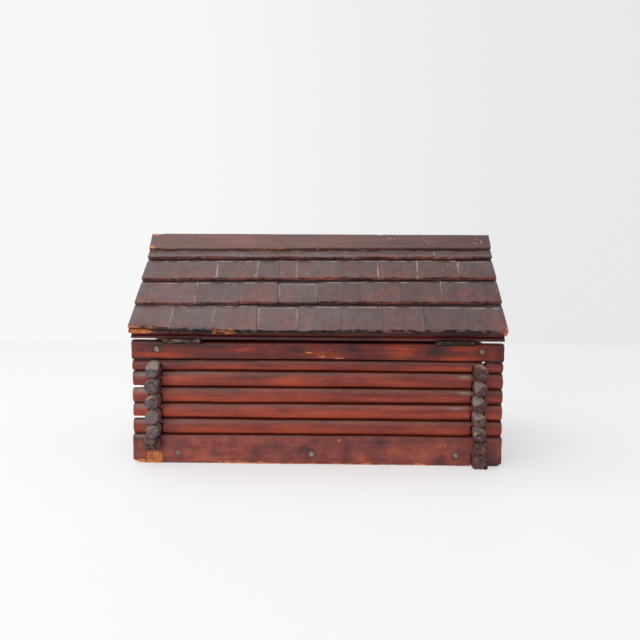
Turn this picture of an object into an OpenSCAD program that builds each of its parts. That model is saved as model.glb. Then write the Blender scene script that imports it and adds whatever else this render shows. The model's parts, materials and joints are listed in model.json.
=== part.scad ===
// Log cabin sewing box: notched log walls on base boards, and a shingled gable roof as the lid.
// The lid turns on two butt hinges along the rear eave. The rear wall faces -Y and the ground is z = 0.

/* [Overall size] */

// Length over the ends of the front and rear logs
log_length = 375; // [310:1:450]

// Distance between the outer faces of the front and rear walls
wall_span = 200; // [166:1:240]

// Height of the walls, from the ground to the upper edge of the top boards
wall_height = 125; // [104:1:150]

// Slope of the roof, in degrees
roof_slope = 38.9; // [32:0.1:41]

/* [Walls] */

// Thickness of the front and rear logs and boards
wall_thickness = 12; // [10:0.5:15]

// Thickness of the side logs
side_thickness = 14; // [12:0.5:17]

// Thickness of the side base boards, whose ends are the feet
side_base_thickness = 16; // [14:0.5:19]

// Thickness of the side top boards
side_top_thickness = 13; // [11:0.5:14]

// Height of the front and rear base boards
base_height = 29.6; // [25:0.2:34]

// Height of the side base boards
side_base_height = 28.2; // [25:0.2:30]

// Height of the front and rear top boards
top_height = 17.9; // [15:0.1:20]

// Height of the side top boards
side_top_height = 21.2; // [18:0.2:24]

// Height of the thin log under the front and rear top boards
thin_log_height = 11.8; // [10:0.2:13]

// How far the front and rear logs run past the middle of the side walls
log_overhang = 26; // [22:0.5:32]

// How far the ends of the side logs stand out of the front and rear walls
log_stub = 13; // [9:0.5:18]

// Radius on the outer edges of the logs
log_rounding = 5; // [2:0.5:5]

// Radius on the outer edges of the boards
board_rounding = 2.5; // [1:0.5:3]

// Width of the cut on the whittled ends of the side logs
whittle = 2.4; // [1:0.2:3]

/* [Floor and lining] */

// Thickness of the floor board
floor_thickness = 12; // [8:0.5:14]

// Height of the floor board's underside above the ground
floor_raise = 5; // [3:0.5:8]

// Thickness of the boards that line the inside
lining_thickness = 3.5; // [3:0.5:5]

/* [Roof] */

// Thickness of the roof boards
roof_board = 4; // [3:0.5:5]

// Thickness of the shingles
shingle_thickness = 3.5; // [3:0.1:4]

// Width of one shingle
shingle_width = 42.8; // [34:0.2:52]

// Distance from the lower edge of the top course of shingles to the ridge, along the slope
shingle_top = 20.4; // [17:0.2:25]

// How much less each course shows than the course below it
shingle_less = 2.15; // [0:0.05:2.2]

// How far the lowest shingles reach past the rails of the lid, along the slope
shingle_drip = 4; // [3:0.1:6]

// How far the shingles reach past the ends of the roof boards
shingle_side = 1.5; // [0.5:0.5:3]

// Width of the rear ridge board, which laps over the front one
ridge_width = 22.5; // [19:0.5:24]

// Distance of each ridge board's lower edge from the middle of the roof
ridge_reach = 13.3; // [12:0.1:15]

// Thickness of the ridge boards
ridge_board = 4; // [3:0.5:5]

// Thickness of the rails and gable boards of the lid
lid_frame = 12.5; // [11:0.5:14]

// Height of the outer face of the lid's rails
rail_face = 3.1; // [2.5:0.1:5]

/* [Hinges] */

// Length of a hinge
hinge_length = 38; // [30:0.5:46]

// Distance from the middle of a hinge to the end of the rear wall
hinge_inset = 50.8; // [32:0.1:80]

// How far the pair of hinges sits to the right of the middle
hinge_shift = 1.2; // [-4:0.1:4]

// Radius of the hinge barrel
barrel_radius = 2.8; // [2.6:0.1:3.4]

// Radius of the hinge pin
pin_radius = 1.25; // [1:0.05:1.4]

// Thickness of a hinge leaf
leaf_thickness = 1; // [0.8:0.1:1.2]

// Width of a hinge leaf, measured from the face of the wall
leaf_width = 11; // [9:0.5:11.5]

/* [Nails] */

// Radius of a nail's head
nail_head = 2.5; // [2:0.1:3]

// Radius of a nail's shank
nail_shank = 0.9; // [0.7:0.1:1.2]

// Length of a nail
nail_length = 28; // [20:1:32]

// Distance of the outer nails of a base board from its ends
base_nail_inset = 46.5; // [45:0.5:80]

// How far the middle nail of a base board sits to the right of the middle
base_nail_middle = -5; // [-20:1:20]

// Distance of a top board's nails below its upper edge
top_nail_drop = 7.9; // [6:0.1:10]

// How far a top board's left nail sits to the right of the left wall's middle
left_nail_shift = 0.1; // [-4:0.1:4]

// How far a top board's right nail sits to the right of the right wall's middle
right_nail_shift = 3.5; // [-4:0.1:4]

/* [Hidden] */

$fn = 48;

stained_log = [0.42, 0.16, 0.10];
stained_board = [0.36, 0.14, 0.09];
plain_wood = [0.74, 0.58, 0.40];
shingle_wood = [0.33, 0.20, 0.17];
brass = [0.50, 0.42, 0.26];
steel = [0.40, 0.39, 0.38];

// Room left between neighbouring pieces of wood
fit = 0.2;

half_length = log_length / 2;
half_span = wall_span / 2;
inner_span = half_span - wall_thickness;

// Side walls: the middle of the logs and their inner face
side_x = half_length - log_overhang;
side_inner = side_x - side_thickness / 2;

// Five logs fill each wall: the uppermost front and rear log is the thin one
full_logs = 4;
wall_pitch = (wall_height - base_height - top_height - thin_log_height) / full_logs;
side_pitch = (wall_height - side_base_height - side_top_height) / (full_logs + 1);

// Part of a pitch that rounding may take from a log's height
rounding_share = 0.34;
wall_rounding = min(log_rounding, rounding_share * wall_pitch);
side_rounding = min(log_rounding, rounding_share * side_pitch);

// At a corner a side log is cut down to a tongue this high on each side of its middle
tongue = 0.24 * side_pitch;

function side_mid(i) = side_base_height + (i + 0.5) * side_pitch;
function side_low(i) = side_base_height + i * side_pitch;
function wall_low(i) = base_height + i * wall_pitch;
function wall_log_height(i) = (i < full_logs ? wall_pitch : thin_log_height) - fit;

// Base boards are halved into each other at the corners
halving = side_base_height / 2;

// Reach of a cutter past the surface that it cuts
over = 1;

// Nails: along the length, and up from the ground
base_nail_x = [-half_length + base_nail_inset, base_nail_middle, half_length - base_nail_inset];
base_nail_z = floor_raise + floor_thickness / 2;
top_nail_x = [-side_x + left_nail_shift, side_x + right_nail_shift];
top_nail_z = wall_height - top_nail_drop;
nail_head_height = 0.8;
nail_proud = 0.3;

// Hinges: two leaves and the play between them fill the gap under the lid
leaf_play = 0.2;
lid_gap = 2 * leaf_thickness + leaf_play;
lid_low = wall_height + lid_gap;
barrel_play = 0.1;
hinge_y = -half_span - barrel_radius - barrel_play;
hinge_z = wall_height + lid_gap / 2;
left_hinge_x = hinge_shift - half_length + hinge_inset;
right_hinge_x = hinge_shift + half_length - hinge_inset;
knuckles = 5;
knuckle_play = 0.15;
pin_play = 0.05;
pin_proud = 0.4;

// Countersunk screws, two to a leaf
screw_head = 2.3;
screw_head_height = 1.4;
screw_shank = 1.2;
screw_slot = 0.7;
screw_slot_depth = 0.5;
screw_spread = 0.31 * hinge_length;
screw_y = -half_span + 0.55 * leaf_width;
body_screw_length = 10;
lid_screw_length = 6.2;

// The lid rests on the front top board, so its frame is deeper towards the front
rest_gap = 0.1;
lid_rest = wall_height + rest_gap;

// Roof boards: height of their upper surface over the outer face of the rear wall
roof_z = lid_low + rail_face + roof_board / cos(roof_slope);
roof_length = half_span / cos(roof_slope);
roof_drip = 1.5;

// Shingles lie at a slant, each course on the upper end of the course below
courses = 4;
lap_share = 0.2;
lap_play = 0.1;
shingle_play = 0.4;
shingle_least = 6;
shingle_stack = shingle_thickness + (shingle_thickness + lap_play) * (1 + lap_share) + lap_play;
shingle_half = half_length + shingle_side;
starter_length = 18;

// The courses below the top one share the rest of the slope
shingle_slope = roof_length + shingle_drip - shingle_top;
shingle_show = shingle_slope / (courses - 1) + shingle_less * (courses - 2) / 2;

function show(k) = shingle_show - k * shingle_less;
function butt(k) = -shingle_drip + k * shingle_show - shingle_less * k * (k - 1) / 2;
function slant(k) = atan((shingle_thickness + lap_play) / show(min(k, courses - 2)));
function joint_shift(k) = shingle_width * (0.5 * (k % 2) - 0.47 - 0.045 * (k - k % 2));

// The top course ends short of the ridge
ridge_room = 2;
top_course = shingle_top - ridge_room;
function shingle_length(k) = k < courses - 1 ? show(k) * (1 + lap_share) : top_course;

// Ridge boards stand at 45 degrees with their lower edges on the top course of shingles
top_butt_y = -half_span + butt(courses - 1) * cos(roof_slope) - shingle_stack * sin(roof_slope);
top_butt_z = roof_z + butt(courses - 1) * sin(roof_slope) + shingle_stack * cos(roof_slope);
ridge_slope = roof_slope - slant(courses - 1);
ridge_inner = ridge_reach - ridge_board * sin(45);
ridge_rest = 0.05;
ridge_z = top_butt_z + (-ridge_inner - top_butt_y) * tan(ridge_slope) + ridge_rest;
front_ridge_width = ridge_reach / sin(45) - ridge_board;

// Height of the roof boards' underside at a distance y from the middle of the roof
function under_roof(y) = lid_low + rail_face + (half_span - y) * tan(roof_slope) - rest_gap;

// Turns a flat outline into a bar along X, with its own x and y as Y and Z
module along_x(length) {
  rotate([90, 0, 90])
    linear_extrude(height = length, center = true)
      children();
}

// Turns a flat outline into a bar along Y, with its own x and y as X and Z
module along_y(length) {
  rotate([90, 0, 0])
    linear_extrude(height = length, center = true)
      children();
}

// Outline with rounded corners on the side at x = 0
module faced(depth, height, radius) {
  translate([radius, 0])
    square([depth - radius, height]);
  translate([0, radius])
    square([depth, height - 2 * radius]);
  for (z = [radius, height - radius])
    translate([radius, z])
      circle(r = radius);
}

// Outline with four rounded corners, in the middle of x = 0
module rounded(width, height, radius) {
  translate([-width / 2 + radius, 0])
    square([width - 2 * radius, height]);
  translate([-width / 2, radius])
    square([width, height - 2 * radius]);
  for (x = [-width / 2 + radius, width / 2 - radius])
    for (z = [radius, height - radius])
      translate([x, z])
        circle(r = radius);
}

// Bar of the rear wall
module rear_bar(low, height, radius) {
  translate([0, -half_span, low])
    along_x(log_length)
      faced(wall_thickness, height, radius);
}

// Cuts the rear wall away between two heights where a side wall of this thickness passes
module rear_corner_cut(low, high, thickness) {
  for (side = [-1, 1])
    translate([side * (side_inner + thickness / 2), -half_span + wall_thickness / 2, (low + high) / 2])
      cube([thickness + 2 * fit, wall_thickness + 2 * over, high - low], center = true);
}

// Cuts a side wall's bar away between two heights where the front and rear walls pass
module side_corner_cut(low, high) {
  for (end = [-1, 1])
    translate([side_x, end * (half_span - wall_thickness / 2), (low + high) / 2])
      cube([4 * side_thickness, wall_thickness + 2 * fit, high - low], center = true);
}

module rear_log(i) {
  low = wall_low(i);
  high = low + wall_pitch;
  keep_low = side_mid(i) + tongue + fit;
  keep_high = i < full_logs ? side_mid(i + 1) - tongue - fit : high + over;
  difference() {
    rear_bar(low, wall_log_height(i), i < full_logs ? wall_rounding : 0.4 * thin_log_height);
    rear_corner_cut(low - over, keep_low, side_thickness);
    if (keep_high < high)
      rear_corner_cut(keep_high, high + over, side_thickness);
  }
}

// Cuts the upper and lower edges off both ends of a side log
module whittled_ends(low, height) {
  for (end = [-1, 1])
    for (z = [low, low + height])
      translate([side_x, end * (half_span + log_stub), z])
        rotate([45, 0, 0])
          cube([2 * side_thickness, whittle * sqrt(2), whittle * sqrt(2)], center = true);
}

module right_log(i) {
  low = side_low(i);
  height = side_pitch - fit;
  difference() {
    translate([side_x, 0, low])
      along_y(wall_span + 2 * log_stub)
        rounded(side_thickness, height, side_rounding);
    side_corner_cut(low - over, side_mid(i) - tongue);
    side_corner_cut(side_mid(i) + tongue, low + side_pitch + over);
    whittled_ends(low, height);
  }
}

module nail() {
  rotate([-90, 0, 0]) {
    cylinder(r = nail_head, h = nail_head_height);
    cylinder(r = nail_shank, h = nail_length);
  }
}

module rear_base_nails() {
  for (x = base_nail_x)
    translate([x, -half_span - nail_proud, base_nail_z])
      nail();
}

module rear_top_nails() {
  for (x = top_nail_x)
    translate([x, -half_span - nail_proud, top_nail_z])
      nail();
}

module rear_base() {
  difference() {
    rear_bar(0, base_height - fit, board_rounding);
    rear_corner_cut(-over, halving + fit / 2, side_base_thickness);
    rear_base_nails();
  }
}

module right_base() {
  length = wall_span + 2 * log_stub;
  difference() {
    translate([side_inner, -length / 2, 0])
      cube([side_base_thickness, length, side_base_height - fit]);
    side_corner_cut(halving - fit / 2, side_base_height + over);
  }
}

// Top board of the right side wall, or of the left one with side = -1
module side_top(side) {
  difference() {
    translate([side * (side_inner + side_top_thickness / 2), 0, wall_height - side_top_height / 2])
      cube([side_top_thickness, 2 * (inner_span - fit), side_top_height], center = true);
    rear_top_nails();
    mirror([0, 1, 0])
      rear_top_nails();
  }
}

// Countersunk screw with its head's flat side at the origin and its shank along +Z
module screw(length) {
  cylinder(r1 = screw_head, r2 = screw_shank, h = screw_head_height);
  cylinder(r = screw_shank, h = length);
}

module slotted_screw(length) {
  difference() {
    screw(length);
    cube([2 * screw_head + over, screw_slot, 2 * screw_slot_depth], center = true);
  }
}

// Places its children at the four screws of the two hinges
module at_screws() {
  for (x = [left_hinge_x - screw_spread, left_hinge_x + screw_spread,
            right_hinge_x - screw_spread, right_hinge_x + screw_spread])
    translate([x, screw_y, 0])
      children();
}

// Places its children at the body leaves' screws, pointing down
module at_body_screws() {
  at_screws()
    translate([0, 0, wall_height + leaf_thickness])
      rotate([180, 0, 0])
        children();
}

// Places its children at the lid leaves' screws, pointing up
module at_lid_screws() {
  at_screws()
    translate([0, 0, lid_low - leaf_thickness])
      children();
}

module rear_top() {
  difference() {
    rear_bar(wall_height - top_height + fit, top_height - fit, board_rounding);
    rear_top_nails();
    at_body_screws()
      screw(body_screw_length);
  }
}

module plain_top() {
  difference() {
    rear_bar(wall_height - top_height + fit, top_height - fit, board_rounding);
    rear_top_nails();
  }
}

module lining() {
  low = floor_raise + floor_thickness + fit;
  height = wall_height - low - fit;
  room = fit / 2;
  for (end = [-1, 1])
    translate([0, end * (inner_span - room - lining_thickness / 2), low + height / 2])
      cube([2 * (side_inner - room), lining_thickness, height], center = true);
  for (side = [-1, 1])
    translate([side * (side_inner - room - lining_thickness / 2), 0, low + height / 2])
      cube([lining_thickness, 2 * (inner_span - 2 * room - lining_thickness), height], center = true);
}

module floor_piece() {
  difference() {
    translate([0, 0, floor_raise + floor_thickness / 2])
      cube([2 * (side_inner - fit), 2 * (inner_span - fit / 2), floor_thickness], center = true);
    rear_base_nails();
    mirror([0, 1, 0])
      rear_base_nails();
  }
}

// Rail of the lid under the rear roof board, from the given height up
module rear_rail(low) {
  along_x(log_length)
    polygon([
      [-half_span, low],
      [-half_span + lid_frame, low],
      [-half_span + lid_frame, under_roof(half_span - lid_frame)],
      [-half_span, under_roof(half_span)]
    ]);
}

module right_gable() {
  inner = half_span - lid_frame - fit;
  translate([side_inner + side_top_thickness / 2, 0, 0])
    along_x(side_top_thickness)
      polygon([
        [-inner, lid_low],
        [inner, lid_rest],
        [inner, under_roof(inner)],
        [0, under_roof(0)],
        [-inner, under_roof(inner)]
      ]);
}

// Places its children on the rear roof board: x stays, y runs up the slope, z is square to it
module on_rear_roof() {
  translate([0, -half_span, roof_z])
    rotate([roof_slope, 0, 0])
      children();
}

module rear_roof() {
  under_length = roof_length - roof_board * tan(roof_slope);
  on_rear_roof()
    along_x(log_length)
      polygon([
        [-roof_drip, 0],
        [-roof_drip, -roof_board],
        [under_length - fit, -roof_board],
        [roof_length - fit, 0]
      ]);
}

// Wedge under the lowest course of shingles
module rear_starter() {
  high = shingle_stack - shingle_thickness - lap_play;
  on_rear_roof()
    along_x(2 * shingle_half)
      polygon([
        [-shingle_drip, lap_play / 2],
        [starter_length - shingle_drip, lap_play / 2],
        [starter_length - shingle_drip, high - starter_length * tan(slant(0))],
        [-shingle_drip, high]
      ]);
}

// One course of shingles, counted from the eave
module rear_course(k) {
  count = ceil(shingle_half / shingle_width) + 1;
  for (i = [-count : count]) {
    left = max(-shingle_half, joint_shift(k) + i * shingle_width);
    right = min(shingle_half, joint_shift(k) + (i + 1) * shingle_width) - shingle_play;
    if (right - left > shingle_least)
      on_rear_roof()
        translate([left, butt(k), shingle_stack])
          rotate([-slant(k), 0, 0])
            translate([0, 0, -shingle_thickness])
              cube([right - left, shingle_length(k), shingle_thickness]);
  }
}

// Ridge board on the rear slope, with its lower outer corner ridge_reach from the middle
module rear_ridge(width) {
  translate([-shingle_half, -ridge_inner, ridge_z])
    rotate([45, 0, 0])
      cube([2 * shingle_half, width, ridge_board]);
}

// Hinge leaf: a plate under the lid with some of the knuckles of the barrel
module leaf(middle, low, first, bore) {
  step = hinge_length / knuckles;
  length = step - knuckle_play;
  difference() {
    union() {
      translate([middle - hinge_length / 2, -half_span, low])
        cube([hinge_length, leaf_width, leaf_thickness]);
      for (i = [first : 2 : knuckles - 1])
        translate([middle - hinge_length / 2 + i * step + knuckle_play / 2, hinge_y, 0]) {
          translate([0, 0, hinge_z])
            rotate([0, 90, 0])
              cylinder(r = barrel_radius, h = length);
          translate([0, 0, low])
            cube([length, -half_span - hinge_y + over, leaf_thickness]);
        }
    }
    translate([middle - hinge_length, hinge_y, hinge_z])
      rotate([0, 90, 0])
        cylinder(r = bore, h = 2 * hinge_length);
  }
}

module body_leaf(middle) {
  difference() {
    leaf(middle, wall_height, 0, pin_radius);
    at_body_screws()
      screw(body_screw_length);
  }
}

module lid_leaf(middle) {
  difference() {
    leaf(middle, lid_low - leaf_thickness, 1, pin_radius + pin_play);
    at_lid_screws()
      screw(lid_screw_length);
  }
}

module hinge_pin(middle) {
  translate([middle - hinge_length / 2 - pin_proud, hinge_y, hinge_z])
    rotate([0, 90, 0])
      cylinder(r = pin_radius, h = hinge_length + 2 * pin_proud);
}

module floor_board() {
  color(plain_wood)
    floor_piece();
}

module lining_boards() {
  color(plain_wood)
    lining();
}

module rear_base_board() {
  color(stained_board)
    rear_base();
}

module front_base_board() {
  color(stained_board)
    mirror([0, 1, 0])
      rear_base();
}

module right_base_board() {
  color(stained_board)
    right_base();
}

module left_base_board() {
  color(stained_board)
    mirror([1, 0, 0])
      right_base();
}

module rear_wall_log(i) {
  color(stained_log)
    rear_log(i);
}

module front_wall_log(i) {
  color(stained_log)
    mirror([0, 1, 0])
      rear_log(i);
}

module right_wall_log(i) {
  color(stained_log)
    right_log(i);
}

module left_wall_log(i) {
  color(stained_log)
    mirror([1, 0, 0])
      right_log(i);
}

module rear_top_board() {
  color(stained_board)
    rear_top();
}

module front_top_board() {
  color(stained_board)
    mirror([0, 1, 0])
      plain_top();
}

module right_top_board() {
  color(stained_board)
    side_top(1);
}

module left_top_board() {
  color(stained_board)
    side_top(-1);
}

module base_board_nails() {
  color(steel) {
    rear_base_nails();
    mirror([0, 1, 0])
      rear_base_nails();
  }
}

module top_board_nails() {
  color(steel) {
    rear_top_nails();
    mirror([0, 1, 0])
      rear_top_nails();
  }
}

module rear_lid_rail() {
  color(stained_board)
    difference() {
      rear_rail(lid_low);
      at_lid_screws()
        screw(lid_screw_length);
    }
}

module front_lid_rail() {
  color(stained_board)
    mirror([0, 1, 0])
      rear_rail(lid_rest);
}

module right_gable_board() {
  color(stained_board)
    right_gable();
}

module left_gable_board() {
  color(stained_board)
    mirror([1, 0, 0])
      right_gable();
}

module rear_roof_board() {
  color(stained_board)
    rear_roof();
}

module front_roof_board() {
  color(stained_board)
    rotate([0, 0, 180])
      rear_roof();
}

module rear_starter_strip() {
  color(shingle_wood)
    rear_starter();
}

module front_starter_strip() {
  color(shingle_wood)
    rotate([0, 0, 180])
      rear_starter();
}

module rear_shingles(k) {
  color(shingle_wood)
    rear_course(k);
}

module front_shingles(k) {
  color(shingle_wood)
    rotate([0, 0, 180])
      rear_course(k);
}

module rear_ridge_board() {
  color(shingle_wood)
    rear_ridge(ridge_width);
}

module front_ridge_board() {
  color(shingle_wood)
    rotate([0, 0, 180])
      rear_ridge(front_ridge_width - ridge_rest);
}

module hinge_body_screws() {
  color(brass)
    at_body_screws()
      slotted_screw(body_screw_length);
}

module hinge_lid_screws() {
  color(brass)
    at_lid_screws()
      slotted_screw(lid_screw_length);
}

module left_hinge_body_leaf() {
  color(brass)
    body_leaf(left_hinge_x);
}

module left_hinge_lid_leaf() {
  color(brass)
    lid_leaf(left_hinge_x);
}

module left_hinge_pin() {
  color(steel)
    hinge_pin(left_hinge_x);
}

module right_hinge_body_leaf() {
  color(brass)
    body_leaf(right_hinge_x);
}

module right_hinge_lid_leaf() {
  color(brass)
    lid_leaf(right_hinge_x);
}

module right_hinge_pin() {
  color(steel)
    hinge_pin(right_hinge_x);
}

floor_board();
lining_boards();
rear_base_board();
front_base_board();
left_base_board();
right_base_board();
rear_wall_log(0);  // rear_log_1
rear_wall_log(1);  // rear_log_2
rear_wall_log(2);  // rear_log_3
rear_wall_log(3);  // rear_log_4
rear_wall_log(4);  // rear_log_5
front_wall_log(0);  // front_log_1
front_wall_log(1);  // front_log_2
front_wall_log(2);  // front_log_3
front_wall_log(3);  // front_log_4
front_wall_log(4);  // front_log_5
left_wall_log(0);  // left_log_1
left_wall_log(1);  // left_log_2
left_wall_log(2);  // left_log_3
left_wall_log(3);  // left_log_4
left_wall_log(4);  // left_log_5
right_wall_log(0);  // right_log_1
right_wall_log(1);  // right_log_2
right_wall_log(2);  // right_log_3
right_wall_log(3);  // right_log_4
right_wall_log(4);  // right_log_5
rear_top_board();
front_top_board();
left_top_board();
right_top_board();
base_board_nails();
top_board_nails();
rear_lid_rail();
front_lid_rail();
left_gable_board();
right_gable_board();
rear_roof_board();
front_roof_board();
rear_starter_strip();
front_starter_strip();
rear_shingles(0);  // rear_shingles_1
rear_shingles(1);  // rear_shingles_2
rear_shingles(2);  // rear_shingles_3
rear_shingles(3);  // rear_shingles_4
front_shingles(0);  // front_shingles_1
front_shingles(1);  // front_shingles_2
front_shingles(2);  // front_shingles_3
front_shingles(3);  // front_shingles_4
rear_ridge_board();
front_ridge_board();
left_hinge_body_leaf();
left_hinge_lid_leaf();
left_hinge_pin();
right_hinge_body_leaf();
right_hinge_lid_leaf();
right_hinge_pin();
hinge_body_screws();
hinge_lid_screws();
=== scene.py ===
"""Looks of the log cabin sewing box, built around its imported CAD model.

Lengths are in millimetres up to build(), which makes objects in metres, in the CAD frame: +X along
the ridge to the right, +Y from the hinged rear wall to the front wall, +Z up.
"""

import itertools
import json
import math

import bpy
import numpy as np
from mathutils import Matrix, Vector


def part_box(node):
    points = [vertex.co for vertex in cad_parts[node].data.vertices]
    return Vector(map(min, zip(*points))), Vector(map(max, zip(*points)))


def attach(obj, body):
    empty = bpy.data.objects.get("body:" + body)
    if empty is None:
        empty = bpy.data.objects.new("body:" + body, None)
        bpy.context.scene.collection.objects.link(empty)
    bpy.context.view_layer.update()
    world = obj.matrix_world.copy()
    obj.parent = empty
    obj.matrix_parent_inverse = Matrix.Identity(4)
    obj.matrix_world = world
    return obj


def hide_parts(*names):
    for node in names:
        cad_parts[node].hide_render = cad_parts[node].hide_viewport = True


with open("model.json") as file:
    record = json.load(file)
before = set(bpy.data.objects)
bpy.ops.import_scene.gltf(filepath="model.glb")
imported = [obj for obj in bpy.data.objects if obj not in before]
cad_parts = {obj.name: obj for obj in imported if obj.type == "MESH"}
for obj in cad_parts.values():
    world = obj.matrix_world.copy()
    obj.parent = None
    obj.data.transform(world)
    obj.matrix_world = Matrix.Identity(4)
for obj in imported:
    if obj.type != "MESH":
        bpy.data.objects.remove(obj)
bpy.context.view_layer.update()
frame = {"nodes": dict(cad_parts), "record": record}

MM = 0.001

# Sizes that the CAD model has too
HALF_LENGTH = 187.5
HALF_SPAN = 100.0
WALL_THICKNESS = 12.0
FIT = 0.2
SIDE_X = 161.5
WALL_BAND = (87.8, 100.2)
TONGUE = 3.63
HALVING = 14.1
STUB_END = 113.0
LID_LOW = 127.2
LID_REST = 125.1
RAIL_FACE = 3.1
RAIL_DEPTH = 12.5
ROOF_SLOPE = math.radians(38.9)
ROOF_BOARD = 4.0
ROOF_Z = LID_LOW + RAIL_FACE + ROOF_BOARD / math.cos(ROOF_SLOPE)
ROOF_LENGTH = HALF_SPAN / math.cos(ROOF_SLOPE)
SHINGLE = 3.5
SHINGLE_STACK = 7.92
SHINGLE_HALF = 189.0
SHINGLE_DRIP = 4.0
SHINGLE_RISE = 3.6
BUTTS = (-4.0, 35.5, 72.9, 108.1)
SHOWS = (39.5, 37.4, 35.2, 35.2)
LENGTHS = (47.4, 44.8, 42.3, 18.4)
RIDGE_BOARD = 4.0
HINGE_Y = -102.9
HINGE_Z = 126.1
LID_OPEN = math.radians(165)

# Both walls and both sides, in the order in which their pieces are made
WALLS = {True: "rear", False: "front"}
SIDES = {1.0: "right", -1.0: "left"}

BODY_OF = {
    node: body
    for body, nodes in frame["record"]["behaviour"]["bodies"].items()
    for node in nodes
}


def span(node):
    """Lowest and highest corner of a CAD node, in millimetres."""
    low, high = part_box(node)
    return np.array(low) / MM, np.array(high) / MM


# Random shapes

# Seeds of each kind of piece or shape; a piece adds its own number
SEAM_SEED = 31
BUTT_SEED = 60
BULGE_SEED = 70
EDGE_SEED = 91
END_SEED = 95
TONE_SEED = 97
WALL_LOG_SEED = 200
WALL_BOARD_SEED = 300
SIDE_LOG_SEED = 400
SIDE_BASE_SEED = 500
SIDE_TOP_SEED = 520
FLOOR_SEED = 530
LINING_SEEDS = (540, 550)
RAIL_SEED = 600
ROOF_BOARD_SEED = 610
GABLE_SEED = 620
STARTER_SEED = 630
CRUMB_SEED = 640
COURSE_SEED = 700
RIDGE_SEED = 801
PIECE_SEED = 1000
# Large factors that scatter neighbouring whole numbers and seeds over all 32-bit numbers
SCATTER = np.array([374761393, 668265263, 1274126177])
SEED_SCATTER = 144664951
ALL_BITS = 0xFFFFFFFF


def hashed(cell, seed):
    """Random number from -1 to 1 for each whole-number point of cell."""
    mixed = ((cell * SCATTER).sum(-1) + seed * SEED_SCATTER) & ALL_BITS
    mixed = ((mixed ^ (mixed >> 13)) * SCATTER[2]) & ALL_BITS
    mixed ^= mixed >> 16
    return mixed / (ALL_BITS >> 1) - 1.0


def noise(points, seed):
    """Smooth random number from -1 to 1 at each point. It varies over a distance of about 1."""
    cell = np.floor(points).astype(np.int64)
    part = points - cell
    part = part * part * (3 - 2 * part)
    total = np.zeros(points.shape[:-1])
    for corner in itertools.product((0, 1), repeat=3):
        corner = np.array(corner)
        weight = np.prod(np.where(corner == 1, part, 1 - part), axis=-1)
        total += weight * hashed(cell + corner, seed)
    return total


def noise_at(seed, x, y=0.0, z=0.0):
    """Noise at points that are given by their coordinates."""
    return noise(np.stack(np.broadcast_arrays(x, y, z), axis=-1).astype(float), seed)


def noise_along(a, length, seed):
    """Smooth random number from -1 to 1 at each place a. It varies over that length."""
    return noise_at(seed, a / length)


def smooth(value, low, high):
    """0 below low, 1 above high and a smooth rise between."""
    share = np.clip((value - low) / (high - low), 0, 1)
    return share * share * (3 - 2 * share)


def hump(distance, reach, power=2):
    """1 at no distance, falling to nearly nothing beyond the reach."""
    return np.exp(-((distance / reach) ** power))


# Outlines and bars


def rectangle(u0, v0, u1, v1):
    return [(u0, v0), (u1, v0), (u1, v1), (u0, v1)]


def outline(corners, radii, step=3.0, arc=4):
    """Points round a convex polygon with rounded corners, at most step apart."""
    corners = np.array(corners, float)
    points = []
    for i, (corner, radius) in enumerate(zip(corners, radii)):
        before = corners[i - 1] - corner
        after = corners[(i + 1) % len(corners)] - corner
        before /= np.linalg.norm(before)
        after /= np.linalg.norm(after)
        half = math.acos(float(before @ after)) / 2
        toward = (before + after) / np.linalg.norm(before + after)
        centre = corner + toward * radius / math.sin(half)
        start = corner + before * radius / math.tan(half) - centre
        stop = corner + after * radius / math.tan(half) - centre
        for share in np.linspace(0, 1, arc + 1):
            spoke = start * (1 - share) + stop * share
            points.append(centre + spoke / np.linalg.norm(spoke) * radius)
    filled = []
    for here, there in zip(points, points[1:] + points[:1]):
        count = max(1, math.ceil(np.linalg.norm(there - here) / step))
        filled += [here + (there - here) * k / count for k in range(count)]
    return np.array(filled)


def curvature(section):
    """How sharply the outline turns at each point: 0 on a flat, 1 where its radius is 1 or less."""
    before = section - np.roll(section, 1, axis=0)
    after = np.roll(section, -1, axis=0) - section
    turn = np.arctan2(
        before[:, 0] * after[:, 1] - before[:, 1] * after[:, 0], (before * after).sum(1)
    )
    length = (np.linalg.norm(before, axis=1) + np.linalg.norm(after, axis=1)) / 2
    return np.clip((np.abs(turn) / np.maximum(length, 0.05) - 0.2) / 0.8, 0, 1)


def rows(u, v):
    """Outlines at all places from their u and v."""
    return np.stack(np.broadcast_arrays(u, v), axis=-1)


def stations(low, high, step, breaks=()):
    """Places from low to high about step apart, closer at the ends and paired at each break."""
    places = {low, low + 0.6, low + 1.6, high - 1.6, high - 0.6, high}
    places.update(np.linspace(low, high, max(2, math.ceil((high - low) / step) + 1))[1:-1])
    places = {p for p in places if all(abs(p - b) > 0.3 for b in breaks)}
    for b in breaks:
        places.update((b - 0.04, b + 0.04))
    kept = []
    for p in sorted(places):
        if not kept or p - kept[-1] > 0.07:
            kept.append(p)
    return np.array(kept)


def strip(first, second):
    """Faces between two rings of point numbers."""
    return np.stack([first, np.roll(first, -1), np.roll(second, -1), second], axis=1)


# What the materials read at each point
READ = ("end", "edge", "groove", "raw", "dust", "shade", "tone", "speck", "chalk")


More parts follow.
